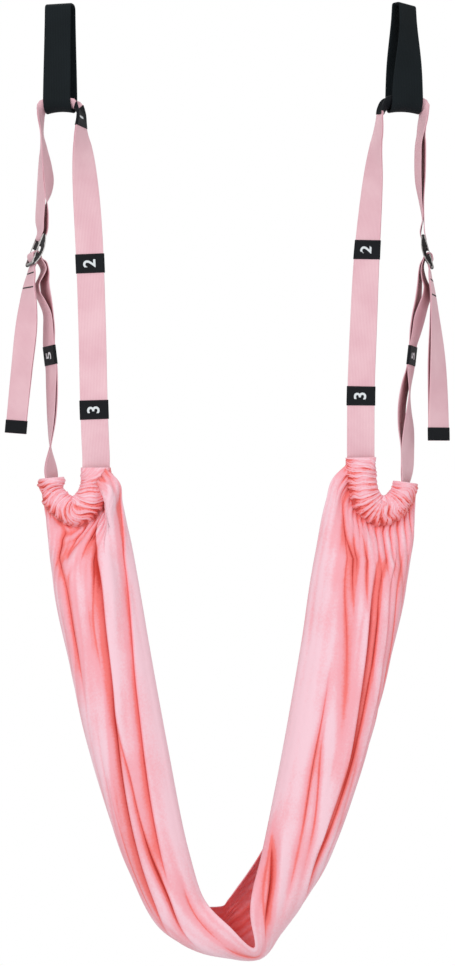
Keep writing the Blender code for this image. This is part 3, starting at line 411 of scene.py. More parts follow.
# Of each side, in millimetres and degrees:
# - its strap's stations, as x, y, z and the heading of the strap's width, from the mouth of the channel to
#   the tail, with how far it is cupped in the saddle's, and the channel's own with its two half sizes;
# - sign is the way its frames face, and mouth_headings are the strap's at the channel's last two stations;
# - channel_start and channel_end are how far in its cloth stops, and seam_start and seam_end the sling's;
# - seam_turn is how far round the channel the seam lies, in degrees, at shares of its length;
# - shoulders are rows of cloth below the seam: their share of the way to the sling's first station, and
#   how far they swell at its inner side, its outer side and towards the viewer;
# - pleat_lean, rear_bunch and pleat_seed shape the channel's pleats, and tail_bulge parts the tail's layers;
# - cup_radius, saddle_half and label_one_rise place the strap in the black loop, and label 1 beside it;
# - frame_centre, frame_across and frame_up are its adjuster's place.
SIDES = {
    "left": {
        "sign": 1,
        "mouth_headings": (85, 68),
        "channel_start": 8,
        "channel_end": 4,
        "seam_start": 9,
        "seam_end": 23,
        "seam_turn": ((0, 0.17, 0.3), (44, 80, 0)),
        "shoulders": [(0.15, 13, -1, 13), (0.42, 9, -2.5, 11)],
        "pleat_lean": 15,
        "pleat_seed": 3.7,
        "rear_bunch": 2.4,
        "cup_radius": 12.25,
        "saddle_half": 20.7,
        "label_one_rise": 14.3,
        "frame_centre": (-271.4, 6, -338.4),
        "frame_across": (0.29, -0.957, 0),
        "frame_up": (0.344, 0.104, 0.93),
        "channel": [
            (-187, -3, -632, 0, 21, 8.5), (-188.6, -2.5, -664, 20, 21, 17), (-198, -1, -688, 60, 21, 21),
            (-216, 1, -702, 90, 20, 21), (-234.5, 3, -694, 95, 19, 21), (-246.6, 4.5, -674, 98, 18, 21),
            (-249.7, 5, -651, 98, 16, 21)],
        "front": [
            (-187.2, -3, -640, 0), (-188.2, -3.5, -600, 0), (-189.7, -4, -559.7, 0), (-192.2, -5, -449, 0),
            (-196, -6, -338, 3), (-198.6, -7, -290, 14), (-202, -8, -241, 30), (-205, -8.5, -200, 50),
            (-207.3, -8, -170, 71)],
        "saddle_front": [
            (-208.2, -7.5, -160, 76, 0.1), (-210, -7, -151.5, 78, 0.25), (-213.3, -6.3, -145.6, 78, 0.5)],
        "saddle_back": [
            (-260, 6.3, -145.6, 80, 0.4), (-262.2, 7, -151.5, 82, 0.18), (-263.2, 7.3, -160, 85, 0.08),
            (-263.6, 7.3, -170, 89, 0)],
        "top_outer": [(-264.6, 7.2, -215, 103), (-264.2, 6.6, -262, 113), (-266, 6.6, -297, 112)],
        "top_inner": [
            (-259.8, 7, -192, 84), (-255.6, 7, -220, 75), (-254, 7, -240, 72), (-254.8, 7.2, -257, 80),
            (-257, 7.8, -275, 100), (-259.2, 8.4, -297, 111)],
        "back_outer": [
            (-264, 7.8, -356, 107), (-260.8, 8.5, -364, 107), (-264.6, 8, -375, 106), (-269.8, 6.8, -386, 105),
            (-269.4, 7, -396, 106), (-263, 9, -409, 108), (-256.6, 10.4, -424, 111), (-254.6, 11.2, -448, 116)],
        "back_inner": [
            (-261.4, 8.6, -355, 108), (-259, 9.8, -366, 112), (-259.4, 10.4, -384, 114),
            (-255.8, 11, -408, 114), (-253.2, 11.4, -430, 114), (-252.2, 11.8, -450, 116)],
        "label_five": [(-253.6, 11.6, -469, 118), (-250.2, 12, -499, 118)],
        "lower_outer": [(-250.6, 10.8, -530, 115), (-250.8, 8.8, -575, 108), (-251.6, 7, -608, 96)],
        "lower_inner": [(-247.8, 10.8, -530, 115), (-248.2, 8.8, -575, 108), (-250.2, 7, -608, 96)],
        "tail": [
            (-277.8, 3.4, -372, 112), (-280.4, 1.2, -388, 119), (-281.6, -1, -415, 134), (-283, -2, -436, 143),
            (-290, -3, -505, 144), (-297, -3.5, -575, 142), (-298.6, -3.5, -593, 142)],
        "tail_bulge": 0.6,
    },
    "right": {
        "sign": -1,
        "mouth_headings": (80, 64),
        "channel_start": 0,
        "channel_end": 10,
        "seam_start": 7,
        "seam_end": 12,
        "seam_turn": ((0, 0.1, 0.2), (22, 22, 0)),
        "shoulders": [(0.15, -13, 3, 2), (0.42, -12, 6.5, 3)],
        "pleat_lean": 4,
        "pleat_seed": 11.2,
        "rear_bunch": 0,
        "cup_radius": 10.25,
        "saddle_half": 21.6,
        "label_one_rise": 33,
        "frame_centre": (273.2, 6, -340.5),
        "frame_across": (0.12, 0.993, 0),
        "frame_up": (-0.268, 0.032, 0.963),
        "channel": [
            (179.8, -3, -626, 180, 21, 8.5), (180.6, -2.5, -657, 160, 20.6, 17),
            (187.2, -1, -684, 120, 21, 20.8), (203.5, 1, -700, 90, 20, 20.7), (223.3, 3, -694.5, 87, 19, 21),
            (238.6, 4.5, -675, 86, 18, 21), (243.6, 5, -651, 88, 16, 21)],
        "front": [
            (179.9, -3, -634, 178), (179.7, -3.5, -590, 173), (179.9, -4, -546, 168), (183.2, -5, -449, 164),
            (188.6, -6, -337, 151), (192.2, -7, -290, 142), (196.2, -8, -241, 130), (199.6, -8.5, -200, 114),
            (204.2, -8, -170, 104)],
        "saddle_front": [
            (206.6, -7.6, -160, 100, 0.1), (209.4, -7.2, -151.5, 98, 0.25), (212.8, -6.7, -145.6, 99, 0.5)],
        "saddle_back": [
            (263.6, 6.7, -145.6, 104, 0.4), (265.2, 7.2, -151.5, 104, 0.18), (265.2, 7.3, -160, 104, 0.08),
            (264.8, 7.3, -170, 102, 0)],
        "top_outer": [(267, 7.2, -200, 97), (267, 7, -236, 95), (266.8, 6.7, -270, 89), (268.4, 6.4, -300, 85)],
        "top_inner": [
            (260.6, 7.2, -190, 99), (259.8, 7.2, -212, 99), (260.4, 7, -242, 97), (263.6, 7, -270, 90),
            (266.4, 7, -294, 86)],
        "back_outer": [
            (267, 6.8, -357, 82), (266.4, 6.8, -366, 78), (268.6, 6.5, -378, 74), (272.6, 6, -390, 70),
            (272, 6.3, -402, 67), (267.6, 7.5, -415, 65), (263, 8.7, -430, 62), (258.6, 9.6, -450, 66)],
        "back_inner": [
            (264.4, 7.1, -357.6, 82), (263, 7.3, -368, 79), (262.4, 7.6, -384, 76), (260.4, 8.2, -406, 73),
            (256.4, 9, -428, 72), (253.8, 9.6, -449, 71)],
        "label_five": [(253.4, 10.4, -469, 71), (250, 10.6, -500, 71)],
        "lower_outer": [
            (248.6, 10.8, -537, 83), (247.8, 9.8, -560, 76), (247.4, 8.6, -585, 64), (245.8, 7, -612, 58)],
        "lower_inner": [
            (243, 10.8, -524, 69), (238.4, 10, -550, 69), (237.4, 8.6, -580, 70), (240.6, 7, -614, 72)],
        "tail": [
            (277, 4.2, -374, 80), (280.6, 2, -401, 75), (282.7, 0, -435, 66), (285.7, -1, -505, 49),
            (287.8, -2, -588, 38), (288, -2, -603, 38)],
        "tail_bulge": 3,
    },
}


def stations(keys, lift=0.0):
    """Stations with six numbers from shorter ones, at one lift."""
    return [(*key[:4], key[4] if len(key) > 4 else 0.0, lift) for key in keys]


def adjuster_place(side):
    across = Vector(side["frame_across"]).normalized()
    up = Vector(side["frame_up"])
    up = (up - across * up.dot(across)).normalized()
    turn = Matrix((across, up.cross(across), up)).transposed().to_4x4()
    return Matrix.Translation(side["frame_centre"]) @ turn


def adjuster_station(side, inward, up, lift=0.0):
    """A station at a point of the adjuster's own cross-section."""
    place = adjuster_place(side)
    across = place.to_3x3() @ Vector((1, 0, 0))
    return (*(place @ Vector((0, inward, up))), math.degrees(math.atan2(across.y, across.x)) % 180, 0.0, lift)


def saddle_stations(side, loop_x, heading, lift):
    """Over the bottom of the black loop, cupped."""
    sign = side["sign"]
    turn = math.radians(heading)
    middle = []
    for share in (1.0, 0.33, -0.33, -1.0):
        reach = side["saddle_half"] * share * sign
        height = LOOP_AXIS_HEIGHT - side["cup_radius"]
        middle.append((loop_x + reach * math.cos(turn), reach * math.sin(turn), height, heading + 90, 1.0))
    keys = side["saddle_front"] + middle + side["saddle_back"]
    return [(*key[:4], sign * key[4], lift) for key in keys]


def clipped(frames, start, end):
    """The frames between two distances along them, ends included."""
    kept = []
    travelled = 0.0
    for before, after in zip(frames, frames[1:]):
        span = (after[0] - before[0]).length
        for distance in (start, end):
            t = (distance - travelled) / span
            if 0 <= t < 1:
                kept.append(tuple(a + (b - a) * t for a, b in zip(before, after)))
        travelled += span
        if start < travelled < end:
            kept.append(after)
    return kept


def shelter(pieces):
    """Paints shade: marks how closed in each point is, by how near the next surface in front of it stands."""
    verts = []
    faces = []
    for piece in pieces:
        start = len(verts)
        verts += [vert.co.copy() for vert in piece.data.vertices]
        faces += [[start + k for k in face.vertices] for face in piece.data.polygons]
    tree = BVHTree.FromPolygons(verts, faces)
    for piece in pieces:
        values = np.zeros(len(piece.data.vertices), np.float32)
        for vert in piece.data.vertices:
            side = vert.normal.orthogonal().normalized()
            for turn in (side, -side, vert.normal.cross(side), side.cross(vert.normal), Vector((0, 0, 0))):
                aim = (vert.normal + 0.6 * turn).normalized()
                distance = tree.ray_cast(vert.co + vert.normal * 0.3 * MM, aim, PAINTED_SHADE_REACH)[3]
                if distance is not None:
                    values[vert.index] += 0.2 * (1 - distance / PAINTED_SHADE_REACH) ** 0.5
        piece.data.attributes.new("shelter", "FLOAT", "POINT").data.foreach_set("value", values)


pink_webbing = webbing_material(
    "pink_webbing", (0.89, 0.60, 0.65), (0.68, 0.34, 0.41), roughness=0.68, shine=0.3, sheen=0.2,
    rib_pitch=2.1, pick_pitch=1.3, bump=0.4)

for name, side in SIDES.items():
    loop_x, loop_heading = LOOPS[name][:2]
    fold = [adjuster_station(side, -FOLD_SEAT, TOP_BAR_HEIGHT + rise) for rise in (4, 1)]
    for step in range(9):
        angle = math.pi * step / 8
        height = TOP_BAR_HEIGHT - FOLD_SEAT * math.sin(angle)
        fold.append(adjuster_station(side, -FOLD_SEAT * math.cos(angle), height))
    layers = []
    for layer, out in (("outer", 1), ("inner", -1)):
        lift = out * side["sign"] * LAYER_STEP / 2
        inside = [station[:4] for station in side["channel"]]
        for back, mouth_heading in zip((-2, -1), side["mouth_headings"]):
            inside[back] = (*inside[back][:3], mouth_heading)
        keys = stations(side["label_five"], lift) + stations(side["lower_" + layer])
        keys += stations(inside[::-1] + side["front"][1:], lift) + saddle_stations(side, loop_x, loop_heading, lift)
        keys += stations(side["top_" + layer])
        keys += fold if layer == "outer" else [adjuster_station(side, FOLD_SEAT, TOP_BAR_HEIGHT + 4), fold[-1]]
        layers.append(strap_frames(keys, 4.0, side["cup_radius"]))
    whole = layers[0] + turned(layers[1])[1:]
    piece = strap_piece(name + "_pink_webbing", [strap_shell(whole, WEBBING_WIDTH, LAYER)], pink_webbing)
    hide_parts(*(name + "_" + node for node in (
        "saddle_strap", "front_strap", "front_strap_lower", "top_strap_outer", "top_strap_inner",
        "back_strap_lower_outer", "back_strap_lower_inner", "channel_strap")))
    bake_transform(piece)

# Webbing at the friction bar
# From label 5 both layers go up, part for a hand's width, meet again, roll over the friction bar
# and cross behind the bottom bar. The bulge between them is slack left by the last adjustment.
ROLL_START = math.radians(50)
crossing = math.asin((FRICTION_SEAT + BAR_SEAT) / (FRICTION_BAR_REST - LOW_BAR_HEIGHT))
section = [(FRICTION_SEAT + 4.1, FRICTION_BAR_REST - 2.2), (FRICTION_SEAT + 1.8, FRICTION_BAR_REST + 0.7)]
for step in range(11):
    angle = ROLL_START + (1.5 * math.pi - crossing - ROLL_START) * step / 10
    section.append((FRICTION_SEAT * math.cos(angle), FRICTION_BAR_REST + FRICTION_SEAT * math.sin(angle)))
for step in range(5):
    angle = (math.pi / 2 - crossing) * (1 - step / 4)
    section.append((BAR_SEAT * math.cos(angle), LOW_BAR_HEIGHT + BAR_SEAT * math.sin(angle)))
section.append((BAR_SEAT, LOW_BAR_HEIGHT - 2.6))

for name, side in SIDES.items():
    shells = []
    for layer, out in (("outer", 1), ("inner", -1)):
        lift = -out * side["sign"] * LAYER_STEP / 2
        keys = stations(side["label_five"][::-1], lift) + stations(side["back_" + layer][::-1])
        keys += [adjuster_station(side, inward, up, lift) for inward, up in section]
        shells.append(strap_shell(strap_frames(keys, 2.5), WEBBING_WIDTH, LAYER))
    piece = strap_piece(name + "_adjusted_webbing", shells, pink_webbing)
    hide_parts(*(name + "_" + node for node in ("friction_wrap", "back_strap_outer", "back_strap_inner")))
    place = adjuster_place(side)
    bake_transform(piece)

# Free tails
# The two layers hang from the bottom bar to a black tip label sewn round their ends. Two rows of
# black thread hold them together below the adjuster.
TACK_HEIGHTS = {"left": (-370.5, -390.5), "right": (-380.0, -401.0)}
TACK_PITCH = 0.8
TACK_STITCHES = 42
TACK_SIZES = (0.36, 1.2, 0.3)
TACK_TILT = math.radians(12)
TACK_PROUD = 0.15
tails = {}
for name, side in SIDES.items():
    keys = [adjuster_station(side, BAR_SEAT, LOW_BAR_HEIGHT - drop) for drop in (2.8, 5)]
    path = strap_frames(keys + stations(side["tail"]), 3.0)
    tails[name] = path
    along = distances_along(path)
    bulge = np.sin(math.pi * np.clip((along / along[-1] - 0.2) / 0.7, 0, 1)) ** 2
    apart = (LAYER_STEP + side["tail_bulge"] * bulge) / 2
    shells = []
    for out in (1, -1):
        layer = [(*row[:4], out * lift) for row, lift in zip(path, apart)]
        shells.append(strap_shell(layer, WEBBING_WIDTH, LAYER))
    piece = strap_piece(name + "_tail_webbing", shells, pink_webbing, name + "_tail")
    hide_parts(name + "_tail_outer", name + "_tail_inner")

# Painted shade where the webbing's layers, the tail and the labels stand close to each other.
for name in SIDES:
    shelter([bpy.data.objects[name + ending] for ending in ("_pink_webbing", "_adjusted_webbing", "_tail_webbing")])

black_thread, tree, shader = new_material("black_thread", Base_Color=(0.012, 0.012, 0.015, 1), Roughness=0.45)
place = add_node(tree, "TexCoord").outputs["Object"]
twist = add_node(tree, "TexWave", {"bands_direction": "DIAGONAL"}, Vector=place, Scale=700).outputs["Fac"]
set_inputs(tree, shader, Normal=bumped(tree, twist, 0.4, 0.0002))


def frame_at_height(frames, reach, height):
    """The frame whose point at this reach across the strap lies at this height."""
    for before, after in zip(frames, frames[1:]):
        high = (before[0] + before[1] * reach).z
        low = (after[0] + after[1] * reach).z
        if low <= height <= high:
            share = (high - height) / max(high - low, 1e-6)
            return tuple(a.lerp(b, share) for a, b in zip(before[:3], after[:3]))
    return frames[0][:3]


def sewn_thread(name, stitches, half_sizes, body):
    """Stitches of black thread, each from its place, the strap's across and face there, and its tilt."""
    shape = bmesh.new()
    for spot, across, face, tilt in stitches:
        turn = Matrix((across, across.cross(face).normalized(), face)).transposed().to_4x4()
        turn = turn @ Matrix.Rotation(tilt, 4, "Z") @ Matrix.Diagonal((*[size * MM for size in half_sizes], 1))
        bmesh.ops.create_icosphere(shape, subdivisions=1, radius=1.0, matrix=Matrix.Translation(spot * MM) @ turn)
    return add_piece(name, into_mesh(shape, bpy.data.meshes.new(name)), black_thread, body)


for name, heights in TACK_HEIGHTS.items():
    for row, height in enumerate(heights):
        stitches = []
        for step in range(TACK_STITCHES):
            reach = TACK_PITCH * (step - (TACK_STITCHES - 1) / 2)
            centre, across, face = frame_at_height(tails[name], reach, height)
            for out in (1, -1):
                spot = centre + across * reach + face * out * (LAYER_STEP / 2 + LAYER / 2 + TACK_PROUD)
                stitches.append((spot, across, face, TACK_TILT if step % 2 else -TACK_TILT))
        sewn_thread(f"{name}_tail_bar_tack_{row + 1}", stitches, TACK_SIZES, name + "_tail")

# Number labels and tip labels
# Black satin ribbon, wrapped round the strap and sewn along both edges, with a white printed number.
# The tip labels are left bare.
LABEL_LENGTH = 26.5
LABEL_WIDTH = WEBBING_WIDTH + 2.4
LABEL_PITCH = 202.5
LABEL_THICKNESS = 4.0
LABEL_FIVE_THICKNESS = 4.2
LABEL_COLUMNS = 16
TIP_LABEL_LENGTH = 18.0
TIP_LABEL_THICKNESS = 4.2
TIP_MARGIN = 0.3
EDGE_STITCHES = (1.6, LABEL_LENGTH - 1.6)
TIP_STITCHES = (1.5,)
STITCHES_IN_ROW = 13
STITCH_PITCH = 2.75
STITCH_SIZES = (1.0, 0.3, 0.22)
STITCH_PROUD = 0.05
DIGIT_SIZE = 23.5
DIGIT_BOLDNESS = 0.42
DIGIT_RISE = 0.07

black_satin = webbing_material(
    "black_satin_label", (0.007, 0.009, 0.012), (0.003, 0.003, 0.004), roughness=0.55, shine=0.14, sheen=0.03,
    rib_pitch=0.7, pick_pitch=0.5, bump=0.3)
white_print, tree, shader = new_material("white_print", Roughness=0.6)
paint = mixed(tree, noise_texture(tree, 1400), (0.55, 0.6, 0.63, 1), (0.86, 0.9, 0.92, 1))
set_inputs(tree, shader, Base_Color=paint)


def sewn_label(name, frames, thickness, body, node, stitched_ends):
    """A label wrapped round the strap, with a row of stitches inside each of its ends."""
    edge = [(*row[:4], 0.0) for row in frames]
    label = strap_piece(name, [strap_shell(edge, LABEL_WIDTH, thickness, LABEL_COLUMNS)], black_satin, body)
    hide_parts(node)
    stitches = []
    for distance in stitched_ends:
        row = clipped(edge, distance, distance + 1)[0]
        for step in range(STITCHES_IN_ROW):
            reach = STITCH_PITCH * (step - (STITCHES_IN_ROW - 1) / 2)
            for out in (1, -1):
                spot = strap_point(row, reach, out * (thickness / 2 + STITCH_PROUD))
                stitches.append((spot, row[1], row[2], 0.0))
    sewn_thread(name + "_stitches", stitches, STITCH_SIZES, body)


def printed_number(name, number, row, to_viewer, off):
    """A number printed on a label's face, lying on its side, with its top to the viewer's left."""
    bpy.ops.object.text_add()
    text = bpy.context.object.data
    text.body = str(number)
    text.size = DIGIT_SIZE
    text.offset = DIGIT_BOLDNESS
    text.extrude = DIGIT_RISE
    text.align_x = "CENTER"
    text.align_y = "CENTER"
    text.resolution_u = 6
    bpy.ops.object.convert(target="MESH")
    digit = bpy.context.object
    shape = bmesh.new()
    shape.from_mesh(digit.data)
    bmesh.ops.subdivide_edges(shape, edges=[edge for edge in shape.edges if edge.calc_length() > 2.5], cuts=3)
    across, face = row[1:3]
    flip = 1 if across.x > 0 else -1
    for vert in shape.verts:
        spot = strap_point(row, -vert.co.y * flip, (off + vert.co.z) * to_viewer)
        vert.co = (spot - across.cross(face) * (vert.co.x * flip * to_viewer)) * MM
    into_mesh(shape, digit.data)
    digit.name = name
    digit.data.materials.append(white_print)
    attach(digit, "strap_loops")


for name, side in SIDES.items():
    loop_x, loop_heading = LOOPS[name][:2]
    keys = stations(side["front"]) + saddle_stations(side, loop_x, loop_heading, 0.0)
    path = strap_frames(keys, 2.0, side["cup_radius"])
    five = strap_frames(stations(side["label_five"]), 2.0)
    label_one = distances_along(strap_frames(stations(side["front"]), 2.0))[-1] + side["label_one_rise"]
    labels = [(number, path, label_one - (number - 1) * LABEL_PITCH, LABEL_THICKNESS) for number in (1, 2, 3)]
    labels.append((5, five, distances_along(five)[-1] / 2, LABEL_FIVE_THICKNESS))
    for number, strap, middle, thickness in labels:
        frames = clipped(strap, middle - LABEL_LENGTH / 2, middle + LABEL_LENGTH / 2)
        node = f"{name}_label_{number}"
        sewn_label(f"{name}_number_label_{number}", frames, thickness, "strap_loops", node, EDGE_STITCHES)
        row = clipped(strap, middle, middle + 1)[0]
        printed_number(f"{name}_number_{number}", number, row, side["sign"], thickness / 2)
    whole = distances_along(tails[name])[-1]
    frames = clipped(tails[name], whole - TIP_LABEL_LENGTH - TIP_MARGIN, whole - TIP_MARGIN)
    node = f"{name}_tip_label"
    sewn_label(f"{name}_bare_tip_label", frames, TIP_LABEL_THICKNESS, name + "_tail", node, TIP_STITCHES)

# Metal adjusters
# Cast side plates with a slot, joined by two bars, and a turned friction bar whose pins slide in the
# slots. They are plated in dark nickel, with a painted highlight along the plates' edges.
PLATE_EDGE = 2.85
PLATE_BOW = 4.3


def adjuster_metal(name, place):
    """Dark plated metal with a painted highlight along the plates' edges, measured in the adjuster's own axes."""
    metal, tree, shader = new_material(name, Metallic=1.0)
    own = add_node(
        tree, "Mapping", {"vector_type": "TEXTURE"}, Vector=add_node(tree, "TexCoord").outputs["Object"],
        Location=place.translation * MM, Rotation=place.to_euler())
    axes = add_node(tree, "SeparateXYZ", Vector=own.outputs[0])
    inward = math_node(tree, "MULTIPLY", axes.outputs[1], 1000.0)
    upward = math_node(tree, "MULTIPLY", axes.outputs[2], 1000 * math.pi / FRAME_BAR_SPACING)
    bow = scaled(tree, math_node(tree, "COSINE", upward), PLATE_BOW, PLATE_EDGE)
    near_bow = math_node(tree, "SUBTRACT", math_node(tree, "MAXIMUM", bow, PLATE_EDGE), inward)
    near_edge = math_node(tree, "ADD", inward, PLATE_EDGE)
    cloud = noise_texture(tree, 260, 6)
    highlight_rim = scaled(tree, cloud, 2.2, 0.3)
    # Painted highlight: a bright rim along the plates' edges and bows, made ragged by noise.
    edge_highlight = math_node(tree, "LESS_THAN", math_node(tree, "MINIMUM", near_bow, near_edge), highlight_rim)
    edge_highlight = scaled(tree, edge_highlight, 0.85, math_node(tree, "MULTIPLY", cloud, 0.1))
    set_inputs(
        tree, shader, Base_Color=mixed(tree, edge_highlight, (0.012, 0.011, 0.012, 1), (0.50, 0.48, 0.47, 1)),
        Roughness=scaled(tree, cloud, 0.3, 0.15))
    return metal


for name, side in SIDES.items():
    metal = adjuster_metal(name + "_dark_nickel", adjuster_place(side))
    for node in ("_adjuster_frame", "_friction_bar"):
        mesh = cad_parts[name + node].data
        mesh.materials.clear()
        mesh.materials.append(metal)
        mesh.shade_smooth()
        mesh.set_sharp_from_angle(angle=math.radians(40))

# Gathered channels
# The sling's ends are sewn into channels of the same pink knitted cloth, scrunched up tightly round
# the strap. The pleats lie across the strap, deepest along the seam where the sling hangs from it.
PLEAT_PITCH = 7.4
PLEAT_CREST = 0.76
MOUTH_TUCK = 1.6
MOUTH_SEAM = 7.0
CHANNEL_STEP = 0.9
CHANNEL_COLUMNS = 96
HEM_STITCHES = (0.009, 0.012)

pink_cloth, tree, shader = new_material(
    "pink_knit", Roughness=0.72, Specular_IOR_Level=0.25, Sheen_Weight=0.35, Sheen_Roughness=0.5,
    Sheen_Tint=(1.0, 0.86, 0.9, 1))
# Painted shade: the cloth is pale where it is proud and deep coral in its folds.
mottle = scaled(tree, noise_texture(tree, 330, 4), 0.22, -0.11)
mottle = scaled(tree, noise_texture(tree, 14, 5), 0.4, math_node(tree, "SUBTRACT", mottle, 0.2))
ramp = add_node(tree, "ValToRGB", Fac=math_node(tree, "ADD", attribute(tree, "painted_fold_shade"), mottle))
ramp.color_ramp.interpolation = "EASE"
stops = ramp.color_ramp.elements
stops[0].color = (0.94, 0.62, 0.70, 1)
stops[1].color = (0.66, 0.055, 0.04, 1)
stops.new(0.3).color = (0.93, 0.41, 0.47, 1)
stops.new(0.62).color = (0.92, 0.2, 0.19, 1)
# Its knit, its crinkles, and two rows of stitches inside each hem.
weave_uv = add_node(tree, "UVMap", {"uv_map": "weave"}).outputs[0]
knit = add_node(tree, "TexWave", Vector=weave_uv, Scale=380, Distortion=1.5, Detail_Scale=3).outputs["Fac"]
hem = attribute(tree, "hem_distance")
rows = [math_node(tree, "COMPARE", hem, distance, 0.0005) for distance in HEM_STITCHES]
along_hem = add_node(tree, "SeparateXYZ", Vector=weave_uv).outputs[1]
dash = math_node(tree, "LESS_THAN", math_node(tree, "FRACT", math_node(tree, "MULTIPLY", along_hem, 330.0)), 0.7)
stitch = math_node(tree, "MULTIPLY", math_node(tree, "MAXIMUM", *rows), dash)
height = scaled(tree, noise_texture(tree, 120, 3), 1.2, math_node(tree, "MULTIPLY", knit, 0.35))
height = scaled(tree, stitch, -1.2, height)
set_inputs(tree, shader, Base_Color=ramp.outputs["Color"], Normal=bumped(tree, height, 0.3, 0.0005))


def channel_path(side, step):
    """Centres and half sizes along a channel, from its front mouth, and the distance of each."""
    rows = smooth_path([(x, y, z, across, depth) for x, y, z, _, across, depth in side["channel"]], step)
    lengths = np.linalg.norm(np.diff(rows[:, :3], axis=0), axis=1)
    return rows, np.concatenate(([0], np.cumsum(lengths)))


def channel_frame(rows, index, sign):
    """Away from the arm's inside, and towards the viewer, across a channel at one of its rows."""
    tangent = direction_at(rows, index)
    out = Vector((0, -sign, 0)).cross(tangent).normalized()
    return out, (Vector((0, -1, 0)) + tangent * tangent.y).normalized()


def cloth_piece(name, points, painted_tones, hems, uvs, ends=()):
    """A closed cloth mesh from rings of points in millimetres, with its painted fold shade and hem attributes."""
    rows, columns = points.shape[:2]
    index = np.arange(rows * columns).reshape(rows, columns)
    beside = np.roll(index, -1, axis=1)
    faces = np.stack((index[:-1], beside[:-1], beside[1:], index[1:]), axis=2).reshape(-1, 4)
    mesh = bpy.data.meshes.new(name)
    mesh.from_pydata((points.reshape(-1, 3) * MM).tolist(), [], faces.tolist())
    for label, values in (("painted_fold_shade", painted_tones), ("hem_distance", hems)):
        layer = mesh.attributes.new(label, "FLOAT", "POINT")
        layer.data.foreach_set("value", values.reshape(-1).astype(np.float32))
    uv = mesh.uv_layers.new(name="weave")
    corners = np.empty(len(mesh.loops), np.int32)
    mesh.loops.foreach_get("vertex_index", corners)
    uv.data.foreach_set("uv", (uvs.reshape(-1, 2)[corners] * MM).reshape(-1).astype(np.float32))
    piece = add_piece(name, mesh, pink_cloth)
    shape = bmesh.new()
    shape.from_mesh(mesh)
    shape.verts.ensure_lookup_table()
    for end in ends:
        shape.faces.new([shape.verts[k] for k in end])
    into_mesh(shape, mesh)
    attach(piece, "sling")
    return piece


def noise_at(*place):
    return noise.noise(Vector(place))


def limited(value, low=0.0, high=1.0):
    return min(max(value, low), high)


for name, side in SIDES.items():
    rows, along = channel_path(side, CHANNEL_STEP)
    first = int(np.searchsorted(along, side["channel_start"]))
    final = int(np.searchsorted(along, along[-1] - side["channel_end"]))
    start = along[first]
    whole = along[final] - start
    seed = side["pleat_seed"]
    # The mouths are tucked in, back along the strap.
    places = [(first + k, -MOUTH_TUCK) for k in (12, 8, 4, 1)] + [(first, -MOUTH_TUCK / 2)]
    places += [(k, 0.0) for k in range(first, final + 1)]
    places += [(final, -MOUTH_TUCK / 2)] + [(final - k, -MOUTH_TUCK) for k in (1, 4, 8, 12)]
    points = np.empty((len(places), CHANNEL_COLUMNS, 3))
    painted_tones = np.empty(points.shape[:2])
    uvs = np.empty((*points.shape[:2], 2))
    for i, (index, inset) in enumerate(places):
        x, y, z, half_across, half_depth = rows[index]
        out, near = channel_frame(rows, index, side["sign"])
        distance = along[index] - start
        to_rear = whole - distance
        calm = min(1.0, 0.25 + distance / 14, 0.25 + to_rear / 14)
        bunch = side["rear_bunch"] * (math.exp(-((to_rear - 6) / 5) ** 2) - math.exp(-((to_rear - 19) / 6) ** 2))
        for j in range(CHANNEL_COLUMNS):
            angle = 2 * math.pi * j / CHANNEL_COLUMNS
            cosine = math.cos(angle)
            sine = math.sin(angle)
            lean = side["pleat_lean"] * cosine * (1 - distance / whole)
            u = (distance + lean) / PLEAT_PITCH + 0.9 * noise_at(seed, 0, distance / 19)
            u += 0.75 * noise_at(cosine * 0.9 + seed, sine * 0.9, distance / 34)
            strong = limited(0.55 + 1.4 * noise_at(cosine * 0.9 + seed, sine * 0.9 + 5, distance / 11), 0.15)
            ramp = u - math.floor(u)
            pleat = ramp ** 0.8 * (1 - max(0.0, (ramp - PLEAT_CREST) / (1 - PLEAT_CREST)) ** 2) / 0.83
            fine = abs(math.sin(math.pi * (2.3 * u + 0.9 * noise_at(cosine * 1.7, sine * 1.7 + seed, distance / 16))))
            seam = max(0.0, cosine) ** 2
            puff = calm * (1.7 + 2.3 * seam) * strong * (pleat - 0.5) + 0.45 * calm * (0.5 + 1.2 * seam) * fine
            puff += 2.3 * calm * noise_at(cosine * 1.5, sine * 1.5 + seed, distance / 17) + inset
            if not inset:
                puff += bunch - 0.7 * math.exp(-((min(distance, to_rear) - MOUTH_SEAM) / 1.2) ** 2)
            reach = (half_across + puff) * math.copysign(abs(cosine) ** 0.85, cosine)
            rise = (half_depth + puff) * math.copysign(abs(sine) ** 0.85, sine)
            points[i, j] = Vector((x, y, z)) + out * reach + near * rise
            # Painted shade: deeper coral in the pleats' hollows and along the seam, and deepest on the tucked mouths.
            hollow_shade = strong * (0.3 + 0.8 * seam + 0.35 * abs(sine)) * (1 - pleat) ** 1.5
            hollow_shade = calm * (hollow_shade + 0.75 * (1 - fine) ** 4 * (0.5 + seam))
            painted_tones[i, j] = 0.12 + 1.35 * hollow_shade + 0.36 * seam * calm + (0.5 if inset else 0.0)
            uvs[i, j] = (angle * 20, distance)
    piece = cloth_piece(name + "_gathered_channel", points, painted_tones, np.ones_like(painted_tones), uvs)
    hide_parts(name + "_channel")

# The sling
# One wide piece of soft knitted cloth, hemmed along both sides. It hangs in long folds that start as
# small pleats at the channels' seams and run together towards its bottom, which is an open trough.
CLOTH_THICKNESS = 1.0
HEM_WIDTH = 12.0
HEM_THICKENING = 0.35
SLING_MIDDLE_Y = 5.5
SLING_COLUMNS = 164
SLING_STEP = 6.2
SHOULDER_STEP = 2.4
TROUGH_TOP = -1150
TROUGH_MIDDLE_X = 8
TROUGH_REACH = 42
